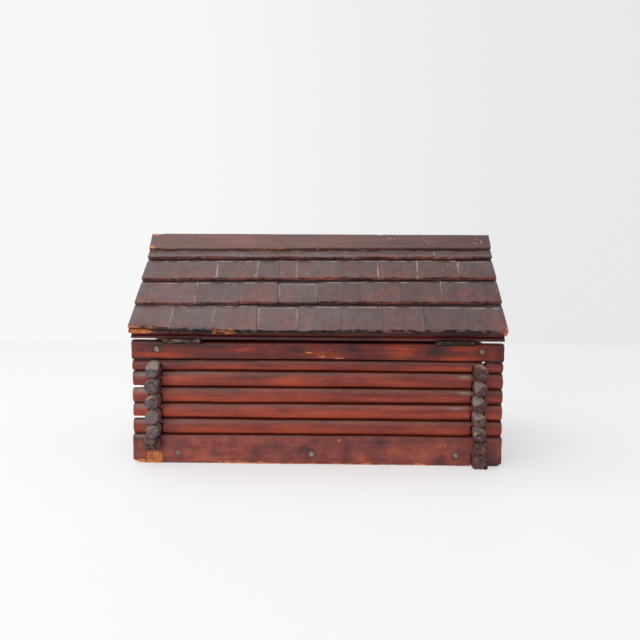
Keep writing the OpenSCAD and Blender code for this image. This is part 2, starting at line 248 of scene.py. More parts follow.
class Bar:
    """A closed bar of wood with rounded ends.

    Its own axes are a along the grain, and u and v across it. shape(a, section) gives the outline
    at each place of the column a. ends are two functions of (u, v) points that give where each end
    lies.
    """

    def __init__(
        self, section, along, shape=None, ends=(None, None), bevel=0.4, rings=5, reach=9.0
    ):
        along = np.array(along, float)
        along[0] += bevel
        along[-1] -= bevel
        if shape:
            around = shape(along[:, None], section)
        else:
            around = np.broadcast_to(section, (len(along), *section.shape))
        n, m = around.shape[:2]
        body = np.empty((n, m, 3))
        body[..., 0] = along[:, None]
        body[..., 1:] = around
        numbers = np.arange(n * m).reshape(n, m)
        worn = np.tile(curvature(around[n // 2]), (n, 1))
        points, end, edge = [], [np.zeros(n * m)], []
        faces = [strip(numbers[i], numbers[i + 1]) for i in range(n - 1)]
        count = n * m
        for side, face, sign in ((0, ends[0], -1.0), (-1, ends[1], 1.0)):
            tip = along[side] + sign * bevel
            rim = around[side]
            if face is None:
                face = lambda p, tip=tip: np.full(len(p), tip)
            near = np.clip(1 - np.abs(along - along[side]) / reach, 0, 1)
            body[..., 0] += near[:, None] * (face(rim) - tip)
            worn[side] = np.maximum(worn[side], 0.7)
            middle = rim.mean(0)
            spoke = (middle - rim) / np.linalg.norm(middle - rim, axis=1, keepdims=True)
            first = rim + spoke * bevel
            cap = [(rim + spoke * 0.3 * bevel, 0.3 * bevel, 0.5, 1.0), (first, 0.0, 1.0, 0.5)]
            for share in np.linspace(0, 1, rings + 1)[1:-1]:
                cap.append((first + (middle - first) * share, 0.0, 1.0, 0.0))
            ring = numbers[side]
            for flat, back, is_end, is_edge in cap:
                points.append(np.column_stack([face(flat) - sign * back, flat]))
                new = count + np.arange(m)
                faces.append(strip(ring, new)[:, ::-1] if side == 0 else strip(ring, new))
                ring = new
                count += m
                end.append(np.full(m, is_end))
                edge.append(np.full(m, is_edge))
            points.append(np.array([[float(face(middle[None])[0]), *middle]]))
            fan = np.stack([ring, np.roll(ring, -1), np.full(m, count), np.full(m, -1)], axis=1)
            faces.append(fan[:, [1, 0, 2, 3]] if side == 0 else fan)
            count += 1
            end.append([1.0])
            edge.append([0.0])
        self.local = np.concatenate([body.reshape(-1, 3), *points])
        self.points = self.local
        self.faces = np.concatenate(faces)
        for key in READ:
            setattr(self, key, np.zeros(count))
        self.end = np.concatenate(end)
        self.edge = np.concatenate([worn.ravel(), *edge])

    def corners(self):
        """The points of each face; a triangle has its third point twice."""
        numbers = np.where(self.faces < 0, self.faces[:, [0, 1, 2, 2]], self.faces)
        return numbers, self.points[numbers]

    def place(self, move):
        """Moves the bar into the model's frame, with its faces outward."""
        self.points = move(self.local)
        p = self.corners()[1] - self.points.mean(0)
        volume = (p[:, 0] * np.cross(p[:, 1], p[:, 2])).sum()
        volume += (p[:, 0] * np.cross(p[:, 2], p[:, 3])).sum()
        if volume < 0:
            turned = self.faces[:, ::-1].copy()
            is_fan = self.faces[:, 3] < 0
            turned[is_fan] = self.faces[is_fan][:, [1, 0, 2, 3]]
            self.faces = turned

    def normals(self):
        numbers, p = self.corners()
        square = np.cross(p[:, 2] - p[:, 0], p[:, 3] - p[:, 1])
        total = np.zeros_like(self.points)
        for k in range(4):
            np.add.at(total, numbers[:, k], square)
        return total / np.maximum(np.linalg.norm(total, axis=1, keepdims=True), 1e-9)

    def carve(self, seed, *cuts, where=1.0):
        """Lowers the surface unevenly. Each cut is its depth and its lengths along a, u and v."""
        depth = np.zeros(len(self.points))
        for k, (most, *lengths) in enumerate(cuts):
            depth += most * (0.5 + 0.5 * noise(self.local / np.array(lengths), seed + k))
        self.points = self.points - self.normals() * (depth * where)[:, None]

    def at_least(self, key, value):
        setattr(self, key, np.maximum(getattr(self, key), value))

    def settle_dust_and_light(self, amount, steep=0.35):
        """Dust lies on what faces up; it also paints those faces lighter, as painted light from
        above.
        """
        self.at_least("dust", amount * smooth(self.normals()[:, 2], steep, 0.9))

    def mark(self, marks, across):
        """Adds marks, which are (a, b, reach along a, reach along b, strength) by what they are.

        across gives the points' (a, b).
        """
        a, b = across(self.points)
        for what, places in marks.items():
            for a0, b0, along, aside, strength in places:
                here = strength * np.exp(-(((a - a0) / along) ** 2) - ((b - b0) / aside) ** 2)
                if what == "dark":
                    self.shade -= here
                elif what == "bright":
                    self.shade += here
                else:
                    self.at_least(what, here)


# Edges that turn by more than this stay sharp
SHARP = math.radians(38)
piece_numbers = itertools.count(1)


def build(node, bars, material):
    """Makes one object of the bars. It replaces the CAD node and rides on its body."""
    draws = np.random.default_rng(PIECE_SEED + next(piece_numbers))
    faces, count = [], 0
    for one in bars:
        faces += [[count + k for k in face if k >= 0] for face in one.faces.tolist()]
        count += len(one.points)
    points = np.concatenate([one.points for one in bars])
    grain = np.concatenate([one.local + draws.uniform(-900, 900, 3) for one in bars])
    mesh = bpy.data.meshes.new(node + "_wood")
    mesh.from_pydata((points * MM).tolist(), [], faces)
    vector = mesh.attributes.new("grain", "FLOAT_VECTOR", "POINT")
    vector.data.foreach_set("vector", (grain * MM).astype(np.float32).ravel())
    for key in READ:
        values = np.concatenate([getattr(one, key) for one in bars]).astype(np.float32)
        mesh.attributes.new(key, "FLOAT", "POINT").data.foreach_set("value", values)
    mesh.polygons.foreach_set("use_smooth", np.ones(len(mesh.polygons), bool))
    mesh.set_sharp_from_angle(angle=SHARP)
    mesh.materials.append(material)
    piece = bpy.data.objects.new(node + "_wood", mesh)
    bpy.context.scene.collection.objects.link(piece)
    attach(piece, BODY_OF[node])
    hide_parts(node)


# Ways to place a bar's own a, u, v
def as_rear(p):
    """a along X, u inward from the rear wall's face, v up."""
    return np.column_stack([p[:, 0], p[:, 1] - HALF_SPAN, p[:, 2]])


def facing(is_rear, move):
    """The rear way to place, or the same at the front of the box."""
    return move if is_rear else lambda p: move(p) * np.array([-1.0, -1.0, 1.0])


def as_side(p):
    """a along Y, u along X, v up."""
    return p[:, [1, 0, 2]]


def as_length(p):
    """a along X, u along Y, v up."""
    return p


def on_roof(x, s, n):
    """A point of the rear slope: x, s up the slope and n square to it."""
    y = -HALF_SPAN + s * math.cos(ROOF_SLOPE) - n * math.sin(ROOF_SLOPE)
    return np.column_stack([x, y, ROOF_Z + s * math.sin(ROOF_SLOPE) + n * math.cos(ROOF_SLOPE)])


def as_slope(p):
    """a along X, u up the rear slope, v square to it."""
    return on_roof(p[:, 0], p[:, 1], p[:, 2])


def wall_place(p):
    return p[:, 0], p[:, 2]


def slope_place(p):
    """Place along X and up the rear slope."""
    s = (p[:, 1] + HALF_SPAN) * math.cos(ROOF_SLOPE) + (p[:, 2] - ROOF_Z) * math.sin(ROOF_SLOPE)
    return p[:, 0], s


# Materials


def rgb(red, green, blue):
    """Linear colour of an 8-bit sRGB one."""

    def linear(c):
        c /= 255
        return c / 12.92 if c <= 0.04045 else ((c + 0.055) / 1.055) ** 2.4

    return (linear(red), linear(green), linear(blue), 1.0)


class Graph:
    """The nodes of a material or world. An input that is a socket is linked, another is a value."""

    def __init__(self, owner):
        owner.use_nodes = True
        self.owner = owner
        self.tree = owner.node_tree
        self.tree.nodes.clear()

    def node(self, kind, inputs, **settings):
        made = self.tree.nodes.new("ShaderNode" + kind)
        for key, value in settings.items():
            setattr(made, key, value)
        for key, value in inputs.items():
            if isinstance(value, bpy.types.NodeSocket):
                self.tree.links.new(value, made.inputs[key])
            else:
                made.inputs[key].default_value = value
        return made

    def attribute(self, name, output="Fac"):
        return self.node("Attribute", {}, attribute_name=name).outputs[output]

    def math(self, operation, *values):
        return self.node("Math", dict(enumerate(values)), operation=operation).outputs[0]

    def add(self, total, *terms):
        """total and each term, which is a socket and its weight."""
        for socket, weight in terms:
            total = self.math("MULTIPLY_ADD", socket, weight, total)
        return total

    def noise(self, vector, scales, detail=2.0, roughness=0.5):
        """Noise with its own scale along each axis, per metre."""
        scaled = self.node("VectorMath", {0: vector, 1: scales}, operation="MULTIPLY").outputs[0]
        inputs = {"Vector": scaled, "Scale": 1.0, "Detail": detail, "Roughness": roughness}
        return self.node("TexNoise", inputs).outputs[0]

    def rise(self, value, low, high, first=0.0, last=1.0):
        inputs = {
            "Value": value, "From Min": low, "From Max": high, "To Min": first, "To Max": last,
        }
        return self.node("MapRange", inputs, interpolation_type="SMOOTHSTEP").outputs[0]

    def mix(self, factor, first, second):
        return self.node("Mix", {0: factor, 6: first, 7: second}, data_type="RGBA").outputs[2]

    def ramp(self, factor, *stops):
        made = self.node("ValToRGB", {0: factor})
        elements = made.color_ramp.elements
        while len(elements) < len(stops):
            elements.new(0.5)
        for element, (position, colour) in zip(elements, stops):
            element.position = position
            element.color = colour
        return made.outputs[0]

    def surface(self, shader, output="OutputMaterial"):
        self.node(output, {"Surface": shader})
        return self.owner


# Scales of the wood's noises along the grain and across it, per metre
BLOTCH = (21, 52, 52)
STREAK = (13, 210, 210)
FIBRE = (70, 720, 720)
SPOTS = (85, 105, 105)
PORES = (640, 640, 640)
LUMPS = (210, 210, 210)
RAGGED = (130, 420, 420)
KNOCKS = (55, 90, 90)
FLECKS = (460, 560, 560)
# Those of the metal's noises
RUBBED_AND_GLINTS = (420, 420, 420)
BRIGHTER = (110, 160, 160)
# Depth of the wood's and the metal's relief, in metres
WOOD_RELIEF = 0.0006
METAL_RELIEF = 0.0003


def wood(name, dark, middle, light, ends, raw, dust, vary, mottle, rough, bump, ior=1.43):
    """Stained wood that reads its bar's grain, ends, edges, grooves and marks.

    vary is how strongly the colour changes along the grain and mottle how strongly in spots.
    """
    g = Graph(bpy.data.materials.new(name))
    grain = g.attribute("grain", "Vector")
    end = g.attribute("end")
    blotch = g.noise(grain, BLOTCH, 3.0, 0.55)
    streak = g.noise(grain, STREAK)
    fibre = g.noise(grain, FIBRE, 3.0, 0.7)
    spots = g.noise(grain, SPOTS, 3.0, 0.6)
    value = g.add(0.0, (blotch, 0.34), (streak, 0.36), (fibre, 0.30))
    value = g.add(0.5 * (1 - vary - mottle), (value, vary), (spots, mottle))
    lean = g.add(0.0, (g.attribute("shade"), 0.20), (g.attribute("tone"), 0.10))
    value = g.math("ADD", value, lean)
    colour = g.ramp(value, (0.30, dark), (0.50, middle), (0.70, light))

    # Ends show the rough grain across the wood
    pitted = g.add(0.0, (g.noise(grain, LUMPS), 0.4), (g.noise(grain, PORES, 4.0, 0.7), 0.6))
    end_colour = g.ramp(g.math("ADD", pitted, lean), (0.40, ends[0]), (0.60, ends[1]))
    colour = g.mix(end, colour, end_colour)

    # Painted shade and dirt in the grooves, near-black painted shade in pits, bare wood on worn
    # edges and knocked places, dust and painted sheen on what faces up
    groove = g.attribute("groove")
    colour = g.mix(g.math("MULTIPLY", groove, 0.72), colour, dark)
    # Deep grooves and pits turn near black: painted shade
    pit_shade = g.rise(groove, 0.9, 1.3)
    ragged = g.noise(grain, RAGGED, 4.0, 0.7)
    worn = g.add(0.0, (ragged, 0.60), (g.attribute("edge"), 0.45), (g.noise(grain, KNOCKS), 0.40))
    worn = g.rise(worn, 1.03, 1.12)
    bared = g.rise(g.math("ADD", g.attribute("raw"), ragged), 0.98, 1.14)
    bare = g.math("MAXIMUM", g.math("MULTIPLY", worn, 0.7), bared)
    raw_dark = tuple(0.5 * c for c in raw[:3]) + (1.0,)
    uneven = g.add(0.0, (fibre, 0.4), (spots, 0.6))
    colour = g.mix(bare, colour, g.mix(g.rise(uneven, 0.36, 0.62), raw_dark, raw))
    colour = g.mix(pit_shade, colour, PIT_SHADE)
    flecks = g.add(g.noise(grain, FLECKS, 0.0), (g.attribute("speck"), 0.18))
    colour = g.mix(g.rise(flecks, 0.90, 0.93, 0.0, 0.8), colour, FLECK)
    dusty = g.math("MULTIPLY", g.attribute("dust"), g.rise(ragged, 0.25, 0.7, 0.45, 1.0))
    dusty = g.math("MULTIPLY", dusty, g.math("SUBTRACT", 1.0, pit_shade))
    colour = g.mix(dusty, colour, dust)
    chalky = g.math("MULTIPLY", g.attribute("chalk"), g.rise(ragged, 0.3, 0.6, 0.3, 1.0))
    colour = g.mix(chalky, colour, CHALK)

    open_grain = g.math("MAXIMUM", end, bare)
    gloss = g.add(rough - 0.1, (fibre, 0.22), (open_grain, 0.25), (dusty, 0.3))
    height = g.add(0.0, (streak, 0.5), (fibre, 0.7))
    height = g.node("Mix", {0: end, 2: height, 3: g.math("MULTIPLY", pitted, 2.6)}).outputs[0]
    relief = {"Height": height, "Strength": bump, "Distance": WOOD_RELIEF}
    normal = g.node("Bump", relief).outputs[0]
    inputs = {"Base Color": colour, "Roughness": gloss, "Normal": normal, "IOR": ior}
    return g.surface(g.node("BsdfPrincipled", inputs).outputs[0])


def metal(name, dark, bright, shine, rough, grit):
    """Tarnished metal: dark, with brighter places where it is rubbed and where glints are painted.
    """
    g = Graph(bpy.data.materials.new(name))
    place = g.node("TexCoord", {}).outputs["Object"]
    spots = g.noise(place, RUBBED_AND_GLINTS, 4.0, 0.65)
    value = g.add(0.0, (g.noise(place, BRIGHTER), 0.4), (spots, 0.6))
    colour = g.ramp(value, (0.50, dark), (0.70, bright))
    gloss = g.add(rough - 0.15, (spots, 0.3))
    relief = {"Height": spots, "Strength": grit, "Distance": METAL_RELIEF}
    normal = g.node("Bump", relief).outputs[0]
    inputs = {"Base Color": colour, "Roughness": gloss, "Normal": normal, "Metallic": shine}
    return g.surface(g.node("BsdfPrincipled", inputs).outputs[0])


RAW = rgb(219, 131, 72)
# Grey of dust, also painted as sheen on tops and upper halves
DUST_AND_SHEEN = rgb(158, 142, 134)
FLECK = rgb(206, 176, 156)
CHALK = rgb(206, 196, 184)
# Near-black colour painted as the shade deep in crumbled pits
PIT_SHADE = rgb(35, 23, 21)
GREY_ENDS = (rgb(26, 18, 19), rgb(108, 90, 90))

LOG_WOOD = wood(
    "stained_log_wood", rgb(62, 20, 17), rgb(120, 41, 30), rgb(162, 66, 38),
    GREY_ENDS, RAW, DUST_AND_SHEEN, 1.05, 0.15, 0.36, 0.35,
)
BASE_WOOD = wood(
    "base_board_wood", rgb(66, 30, 33), rgb(119, 51, 44), rgb(160, 77, 54),
    GREY_ENDS, RAW, DUST_AND_SHEEN, 0.7, 0.52, 0.44, 0.40, 1.48,
)
BOARD_WOOD = wood(
    "stained_board_wood", rgb(48, 21, 22), rgb(99, 35, 27), rgb(158, 58, 33),
    GREY_ENDS, RAW, DUST_AND_SHEEN, 0.9, 0.20, 0.42, 0.35, 1.39,
)
SHINGLE_WOOD = wood(
    "shingle_wood", rgb(46, 29, 29), rgb(76, 45, 41), rgb(118, 61, 52),
    (rgb(30, 16, 15), rgb(152, 84, 74)), RAW, rgb(126, 115, 113), 0.5, 0.50, 0.42, 0.5, 1.37,
)
RIDGE_WOOD = wood(
    "ridge_wood", rgb(56, 35, 34), rgb(88, 50, 45), rgb(122, 67, 56),
    (rgb(30, 15, 15), rgb(100, 50, 45)), RAW, rgb(146, 134, 128), 0.7, 0.20, 0.42, 0.4, 1.39,
)
FOOT_WOOD = wood(
    "foot_wood", rgb(56, 24, 26), rgb(112, 48, 38), rgb(160, 78, 48),
    (rgb(14, 9, 9), rgb(120, 82, 75)), RAW, DUST_AND_SHEEN, 0.9, 0.5, 0.5, 0.8,
)
PLAIN_WOOD = wood(
    "plain_wood", rgb(112, 78, 50), rgb(158, 116, 78), rgb(182, 140, 100),
    (rgb(92, 62, 42), rgb(150, 110, 76)), rgb(196, 152, 108), rgb(150, 128, 104),
    0.9, 0.15, 0.6, 0.35,
)
BRASS = metal("tarnished_brass", rgb(36, 29, 25), rgb(150, 116, 84), 0.5, 0.45, 0.3)
DARK_BRASS = metal("dark_brass", rgb(26, 20, 18), rgb(104, 82, 60), 0.5, 0.45, 0.3)
STEEL = metal("dull_steel", rgb(70, 64, 60), rgb(150, 144, 138), 0.85, 0.45, 0.25)
NAIL = metal("nail_steel", rgb(116, 98, 92), rgb(216, 200, 192), 0.35, 0.5, 0.4)


# Walls

# How far each seam of the rear wall strays at its left end, middle and right end. Seam 0 is on the
# base board and seam 5 under the top board.
SEAM_DRIFT = (
    (0, 0.7, 0.5), (0.9, 0.5, 0.6), (-0.9, 0.2, 0.9),
    (-0.8, 0.3, -0.3), (-0.4, 0.7, -0.4), (-0.8, 0.3, -0.9),
)
# Seams of the rear wall that open: where, how far along, and half the opening
REAR_SLITS = {1: (-190, 20, 0.66), 2: (170.6, 2.0, 0.7), 3: (-190, 15, 0.80)}
# How light each wall log is, from the lowest up
LOG_TONE = (0.5, 0.9, 0.2, 0.1, 0.0)
# How much dust, with a painted sheen, lies on the upper half of a log
LOG_DUST_AND_SHEEN = 0.22
TOP_LOG = len(LOG_TONE) - 1
# Lower edge of the lowest log and how far the logs are apart; edges of the uppermost, thinner one
LOG_START, LOG_PITCH = 29.6, 16.425
TOP_LOG_EDGES = (95.3, 106.9)


def seam(is_rear, j, a):
    """How far seam j strays up at each place."""
    left, middle, right = SEAM_DRIFT[j] if is_rear else SEAM_DRIFT[j][::-1]
    t = a / HALF_LENGTH
    drift = middle + (right - left) / 2 * t + ((left + right) / 2 - middle) * t * t
    return drift + 0.25 * noise_along(a, 42, SEAM_SEED + j + (0 if is_rear else 50))


def slit(is_rear, j, a):
    """Half the opening of seam j at each place."""
    if not is_rear or j not in REAR_SLITS:
        return np.zeros_like(a)
    middle, length, half = REAR_SLITS[j]
    return half * hump(a - middle, length, 4)


def heights(node):
    """Height of a CAD node's underside and top."""
    (_, _, low), (_, _, high) = span(node)
    return low, high


def side_middle(i):
    """Height of the middle of the side logs at this place from below."""
    return sum(heights(f"right_log_{i + 1}")) / 2


# Ends of the side logs at the rear, from the lowest up: how far the middle strays in x and z, how
# much larger they are in x and z, and the knife cuts (direction in degrees from +X, slope, start
# from the middle)
STUBS = {
    -1.0: (
        (-2.9, -0.9, 1.05, 1.00, ((100, 0.9, 4.0), (190, 0.8, 5.2), (320, 0.7, 5.2))),
        (-3.1, -0.9, 1.08, 1.05, ((40, 0.9, 5.0), (175, 0.8, 5.6), (285, 0.6, 6.0))),
        (-2.8, -0.6, 1.05, 1.02, ((115, 0.9, 4.2), (30, 0.8, 5.0), (250, 0.7, 5.6))),
        (-3.1, 0.2, 1.10, 1.05, ((45, 0.9, 4.8), (160, 0.9, 5.4), (320, 0.8, 5.2))),
        (-2.6, 1.8, 1.05, 1.24, ((86, 1.35, 1.0), (185, 0.8, 5.4), (350, 0.6, 5.6))),
    ),
    1.0: (
        (1.0, -0.4, 1.03, 1.0, ((130, 1.3, 2.4), (60, 0.8, 4.6), (270, 0.5, 6.0))),
        (0.4, -1.0, 1.05, 1.0, ((105, 1.5, 2.0), (165, 1.2, 3.6), (30, 0.9, 4.4))),
        (0.2, -0.9, 1.03, 1.05, ((120, 1.5, 2.0), (190, 0.9, 4.4), (20, 0.8, 5.0))),
        (1.2, -0.2, 1.03, 1.08, ((140, 1.4, 1.6), (60, 0.9, 4.6), (300, 0.6, 5.6))),
        (1.6, 0.8, 1.0, 1.15, ((165, 1.3, 1.8), (85, 1.6, 5.4), (30, 0.8, 5.2))),
    ),
}
# Share of the stubs' shift along X that their roots in the wall have too
ROOT_SHIFT = 0.7
# Half the width of a wall log's notch for a side log, and half the width of a side log
NOTCH_HALF = 7.2
SIDE_HALF = 7.1
# How deeply the knife cuts are pitted; the lowest stubs are as rough as the feet
PITS = 0.45
LOW_PITS = 1.3
# Points round a side log, for a radius of 1
directions = np.radians(np.arange(36) * 10.0)
LOG_ROUND = np.array([np.cos(directions), np.sin(directions)])
# Distances from the middle of a side log: where it starts to stray and has strayed, where a stub's
# and a foot's rough grey starts, and where both are clear of the wall
STRAY_START, STRAY_END = 98, 112
STUB_ROOT, FOOT_ROOT, STUB_CLEAR = 99, 99.6, 103
STUB_PLACES = (STUB_CLEAR, 105.5, 108, 110.5)
BAND_BREAKS = [sign * edge for sign in SIDES for edge in WALL_BAND]


def in_band(a):
    """Where a side log or side base board lies in the rear or front wall."""
    return (np.abs(a) > WALL_BAND[0]) & (np.abs(a) < WALL_BAND[1])


def root_x(side, is_rear, i):
    """Place along X where side log i passes through the wall."""
    return side * SIDE_X + ROOT_SHIFT * STUBS[side][i][0] * is_rear


def in_notch(a, is_rear, i):
    """Where side log i passes through the wall."""
    return np.any([np.abs(a - root_x(side, is_rear, i)) < NOTCH_HALF for side in SIDES], axis=0)


# A wall log's outline, with v from 0 to 1: one is flat on the inside, the other round as a dowel
ROUND_DEPTH, BACK_START = 6.0, 9.0
FLAT_LOG = [
    (
        ROUND_DEPTH * (1 - math.cos(t) ** 0.86),
        0.5 + 0.5 * math.copysign(abs(math.sin(t)) ** 0.94, t),
    )
    for t in np.radians(np.linspace(-90, 90, 17))
]
back = [(WALL_THICKNESS, v) for v in (1, 0.67, 0.33, 0)]
FLAT_LOG = np.array(FLAT_LOG + [(BACK_START, 1), *back, (BACK_START, 0)])
ROUND_LOG = FLAT_LOG.copy()
ROUND_LOG[17:] = [
    (ROUND_DEPTH + ROUND_DEPTH * math.cos(t), 0.5 + 0.5 * math.sin(t))
    for t in np.radians((64, 39, 13, -13, -39, -64))
]
BACK_UPPER, BACK_LOWER = slice(17, 20), slice(20, 23)
# The uppermost rear log has lost a corner beside its stub: where along X the cut starts and has
# run out, and how deep it is
CHIP_START, CHIP_END, CHIP_DEPTH = 166.4, 170.8, 4.6


def wall_log(is_rear, i):
    bottom, top = TOP_LOG_EDGES
    if i < TOP_LOG:
        bottom, top = (LOG_START + LOG_PITCH * n for n in (i, i + 1))
        top -= FIT
    middle = (bottom + top) / 2

    def shape(a, section):
        first = bottom + seam(is_rear, i, a) + slit(is_rear, i, a)
        last = top + seam(is_rear, i + 1, a) - slit(is_rear, i + 1, a)
        over = side_middle(i) + TONGUE + FIT
        first = np.where(in_notch(a, is_rear, i), np.maximum(first, over), first)
        if i < TOP_LOG:
            under = side_middle(i + 1) - TONGUE - FIT
            last = np.where(in_notch(a, is_rear, i + 1), np.minimum(last, under), last)
        elif is_rear:
            last = last - CHIP_DEPTH * smooth(CHIP_END - a, 0, 3) * (a > CHIP_START)
        # The back is round only next to an open seam, so that light comes through
        outside = np.zeros((len(a), len(section), 1))
        past = smooth(np.abs(a), 168.8, 171.0)
        for back, j in ((BACK_UPPER, i + 1), (BACK_LOWER, i)):
            outside[:, back, 0] = past * smooth(slit(is_rear, j, a), 0, 0.3)
        mixed = FLAT_LOG * (1 - outside) + ROUND_LOG * outside
        bulge = 0.35 * (0.5 + 0.5 * noise_along(a, 60, BULGE_SEED + i))
        u = mixed[..., 0] + bulge * (mixed[..., 0] < BACK_START)
        return rows(u, first + (last - first) * mixed[..., 1])

    roots = [root_x(side, is_rear, j) for side in SIDES for j in {i, min(i + 1, TOP_LOG)}]
    breaks = [root + sign * NOTCH_HALF for root in roots for sign in SIDES]
    if i == TOP_LOG and is_rear:
        breaks += [CHIP_START, CHIP_END + 0.1]
    seed = WALL_LOG_SEED + i + (0 if is_rear else 20)
    draws = np.random.default_rng(seed)
    tips = draws.uniform(0, 0.4, 2)
    tilt = draws.uniform(-0.04, 0.04, 4)

    def tip(k, sign):
        def face(p):
            lean = tilt[2 * k] * (p[:, 0] - ROUND_DEPTH) + tilt[2 * k + 1] * (p[:, 1] - middle)
            rough = noise_at(seed, *(p / 3.0).T, k)
            return sign * (HALF_LENGTH - tips[k] - np.abs(lean) - 0.15 * (1 + rough))

        return face

    made = Bar(
        FLAT_LOG, stations(-HALF_LENGTH, HALF_LENGTH, 3.6, breaks), shape,
        (tip(0, -1), tip(1, 1)), bevel=1.3,
    )
    made.place(facing(is_rear, as_rear))
    across = (made.local[:, 2] - middle) / ((top - bottom) / 2)
    # Darker toward the seams: painted shade between the logs, with dirt
    made.groove = smooth(np.abs(across), 0.80, 1.0) * (made.end < 0.4)
    made.dust = LOG_DUST_AND_SHEEN * smooth(across, 0.25, 0.8) * (1 - made.groove * 0.8)
    made.end *= 0.5
    made.tone += LOG_TONE[i] + 0.35 * noise_along(made.local[:, 0], 70, seed)
    # Painted light: the lower half lighter and the upper half darker, as bounce light from the
    # white floor would make them
    made.shade += 0.35 - 0.75 * smooth(across, -0.5, 0.7)
    made.carve(seed, (0.35, 50, 5, 5), (0.12, 9, 3, 3))
    if is_rear:
        made.mark(WALL_MARKS, wall_place)
    return made


# Marks on the rear wall: place along X and up, reach each way, strength
WALL_MARKS = {
    "dust": (
        # On the logs beside the stubs: dust, and at their left ends also painted sheen
        (149, 91.3, 8, 1.5, 1.0), (149, 75.2, 8, 1.4, 0.9), (140, 59.4, 14, 1.0, 0.9),
        (-178, 91.5, 8, 3.0, 0.8), (-178, 76.0, 9, 3.2, 0.9), (-178, 60.0, 9, 3.0, 0.7),
        (-178, 43.5, 9, 2.2, 0.5), (-178, 28.0, 9, 1.6, 0.5), (-120, 93.5, 30, 1.2, 0.5),
    ),
    "dark": (
        # Top board
        (35, 120, 9, 5, 0.8), (117, 119, 12, 6, 1.1), (183, 116, 5, 8, 0.8),
        (-20, 119, 11, 4, 0.9), (-110, 121, 22, 4, 0.6), (-150, 122, 26, 3, 0.6),
        # Base board
        (-84, 19.5, 5, 6, 0.7), (-106, 13.5, 4, 5, 0.7), (-61, 12, 6, 6, 1.0),
        (-41, 19.5, 6, 5, 0.6), (-137, 20.5, 5, 4, 0.5), (-15, 14, 7, 7, 0.5),
        (66, 23, 8, 5, 0.7), (30, 11, 4, 11, 0.7), (126, 4, 9, 4, 0.8), (178, 5, 8, 7, 1.2),
        # Round the nails
        (-141, 11, 3.4, 3.4, 1.2), (-5, 11, 3.4, 3.4, 1.2), (141, 11, 3.8, 3.8, 1.7),
        (-161.4, 117, 3.4, 3.4, 1.0), (165, 117, 3.4, 3.4, 0.8),
    ),
    "bright": (
        # Top board
        (86, 116, 16, 9, 0.7), (-160, 111, 26, 3, 0.9), (-73, 118, 12, 3, 0.8),
        (146, 121, 12, 4, 0.9), (140, 109.5, 22, 2, 1.0),
        # Logs
        (-30, 86, 14, 3, 1.2), (-143, 87, 5, 3, 0.8), (-130, 67, 20, 2.5, 0.8),
        (60, 68, 30, 2.5, 0.6),
        # Base board
        (-100, 15, 60, 18, 0.35), (-112, 5, 12, 2.5, 0.9), (-88, 7, 10, 2.5, 0.8),
        (44, 7, 8, 6, 0.7), (80, 15, 8, 6, 0.5), (106, 8, 12, 7, 0.8),
    ),
    "raw": (
        # Top board
        (-8, 115, 7, 1.7, 0.70), (3, 111, 13, 1.7, 0.70), (22, 109.5, 9, 1.6, 0.68),
        (12, 117.5, 8, 1.6, 0.64), (-42, 109, 7, 1.6, 0.60),
        # A log
        (-68, 33.5, 4, 1.6, 0.45),
        # Base board
        (50, 0, 12, 3.8, 0.84), (103, 1, 9, 3.6, 0.84), (-75, 0, 70, 4.4, 0.76),
        (20, 0, 160, 3.4, 0.70), (-177, 1.5, 14, 3.4, 1.0), (23, 25.5, 3.0, 2.0, 0.9),
        (131, 21.8, 2.2, 2.6, 0.8), (-165, 6, 9, 7, 0.75),
    ),
}

for is_rear in WALLS:
    for i in range(len(LOG_TONE)):
        build(f"{WALLS[is_rear]}_log_{i + 1}", [wall_log(is_rear, i)], LOG_WOOD)


def plank_ends(seed, half, wander=0.4):
    """Two slightly uneven ends."""

    def face(sign):
        def at(p):
            return sign * (half - wander * 0.5 * (1 + noise_at(seed, *(p / 4.0).T, sign)))

        return at

    return face(-1), face(1)


# How far the right and the left rear foot stray along X, and how much wider the left one is
FOOT_SHIFT = (1.6, -2.6)
FOOT_WIDER = 3.1
# Height up to which the left rear foot has broken off
FOOT_BREAK = 16.2
# How much wider than the board the rest of that foot is
FOOT_STRETCH = 1.17
# How far the base boards stay off one another in their notches
NOTCH_PLAY = 0.1


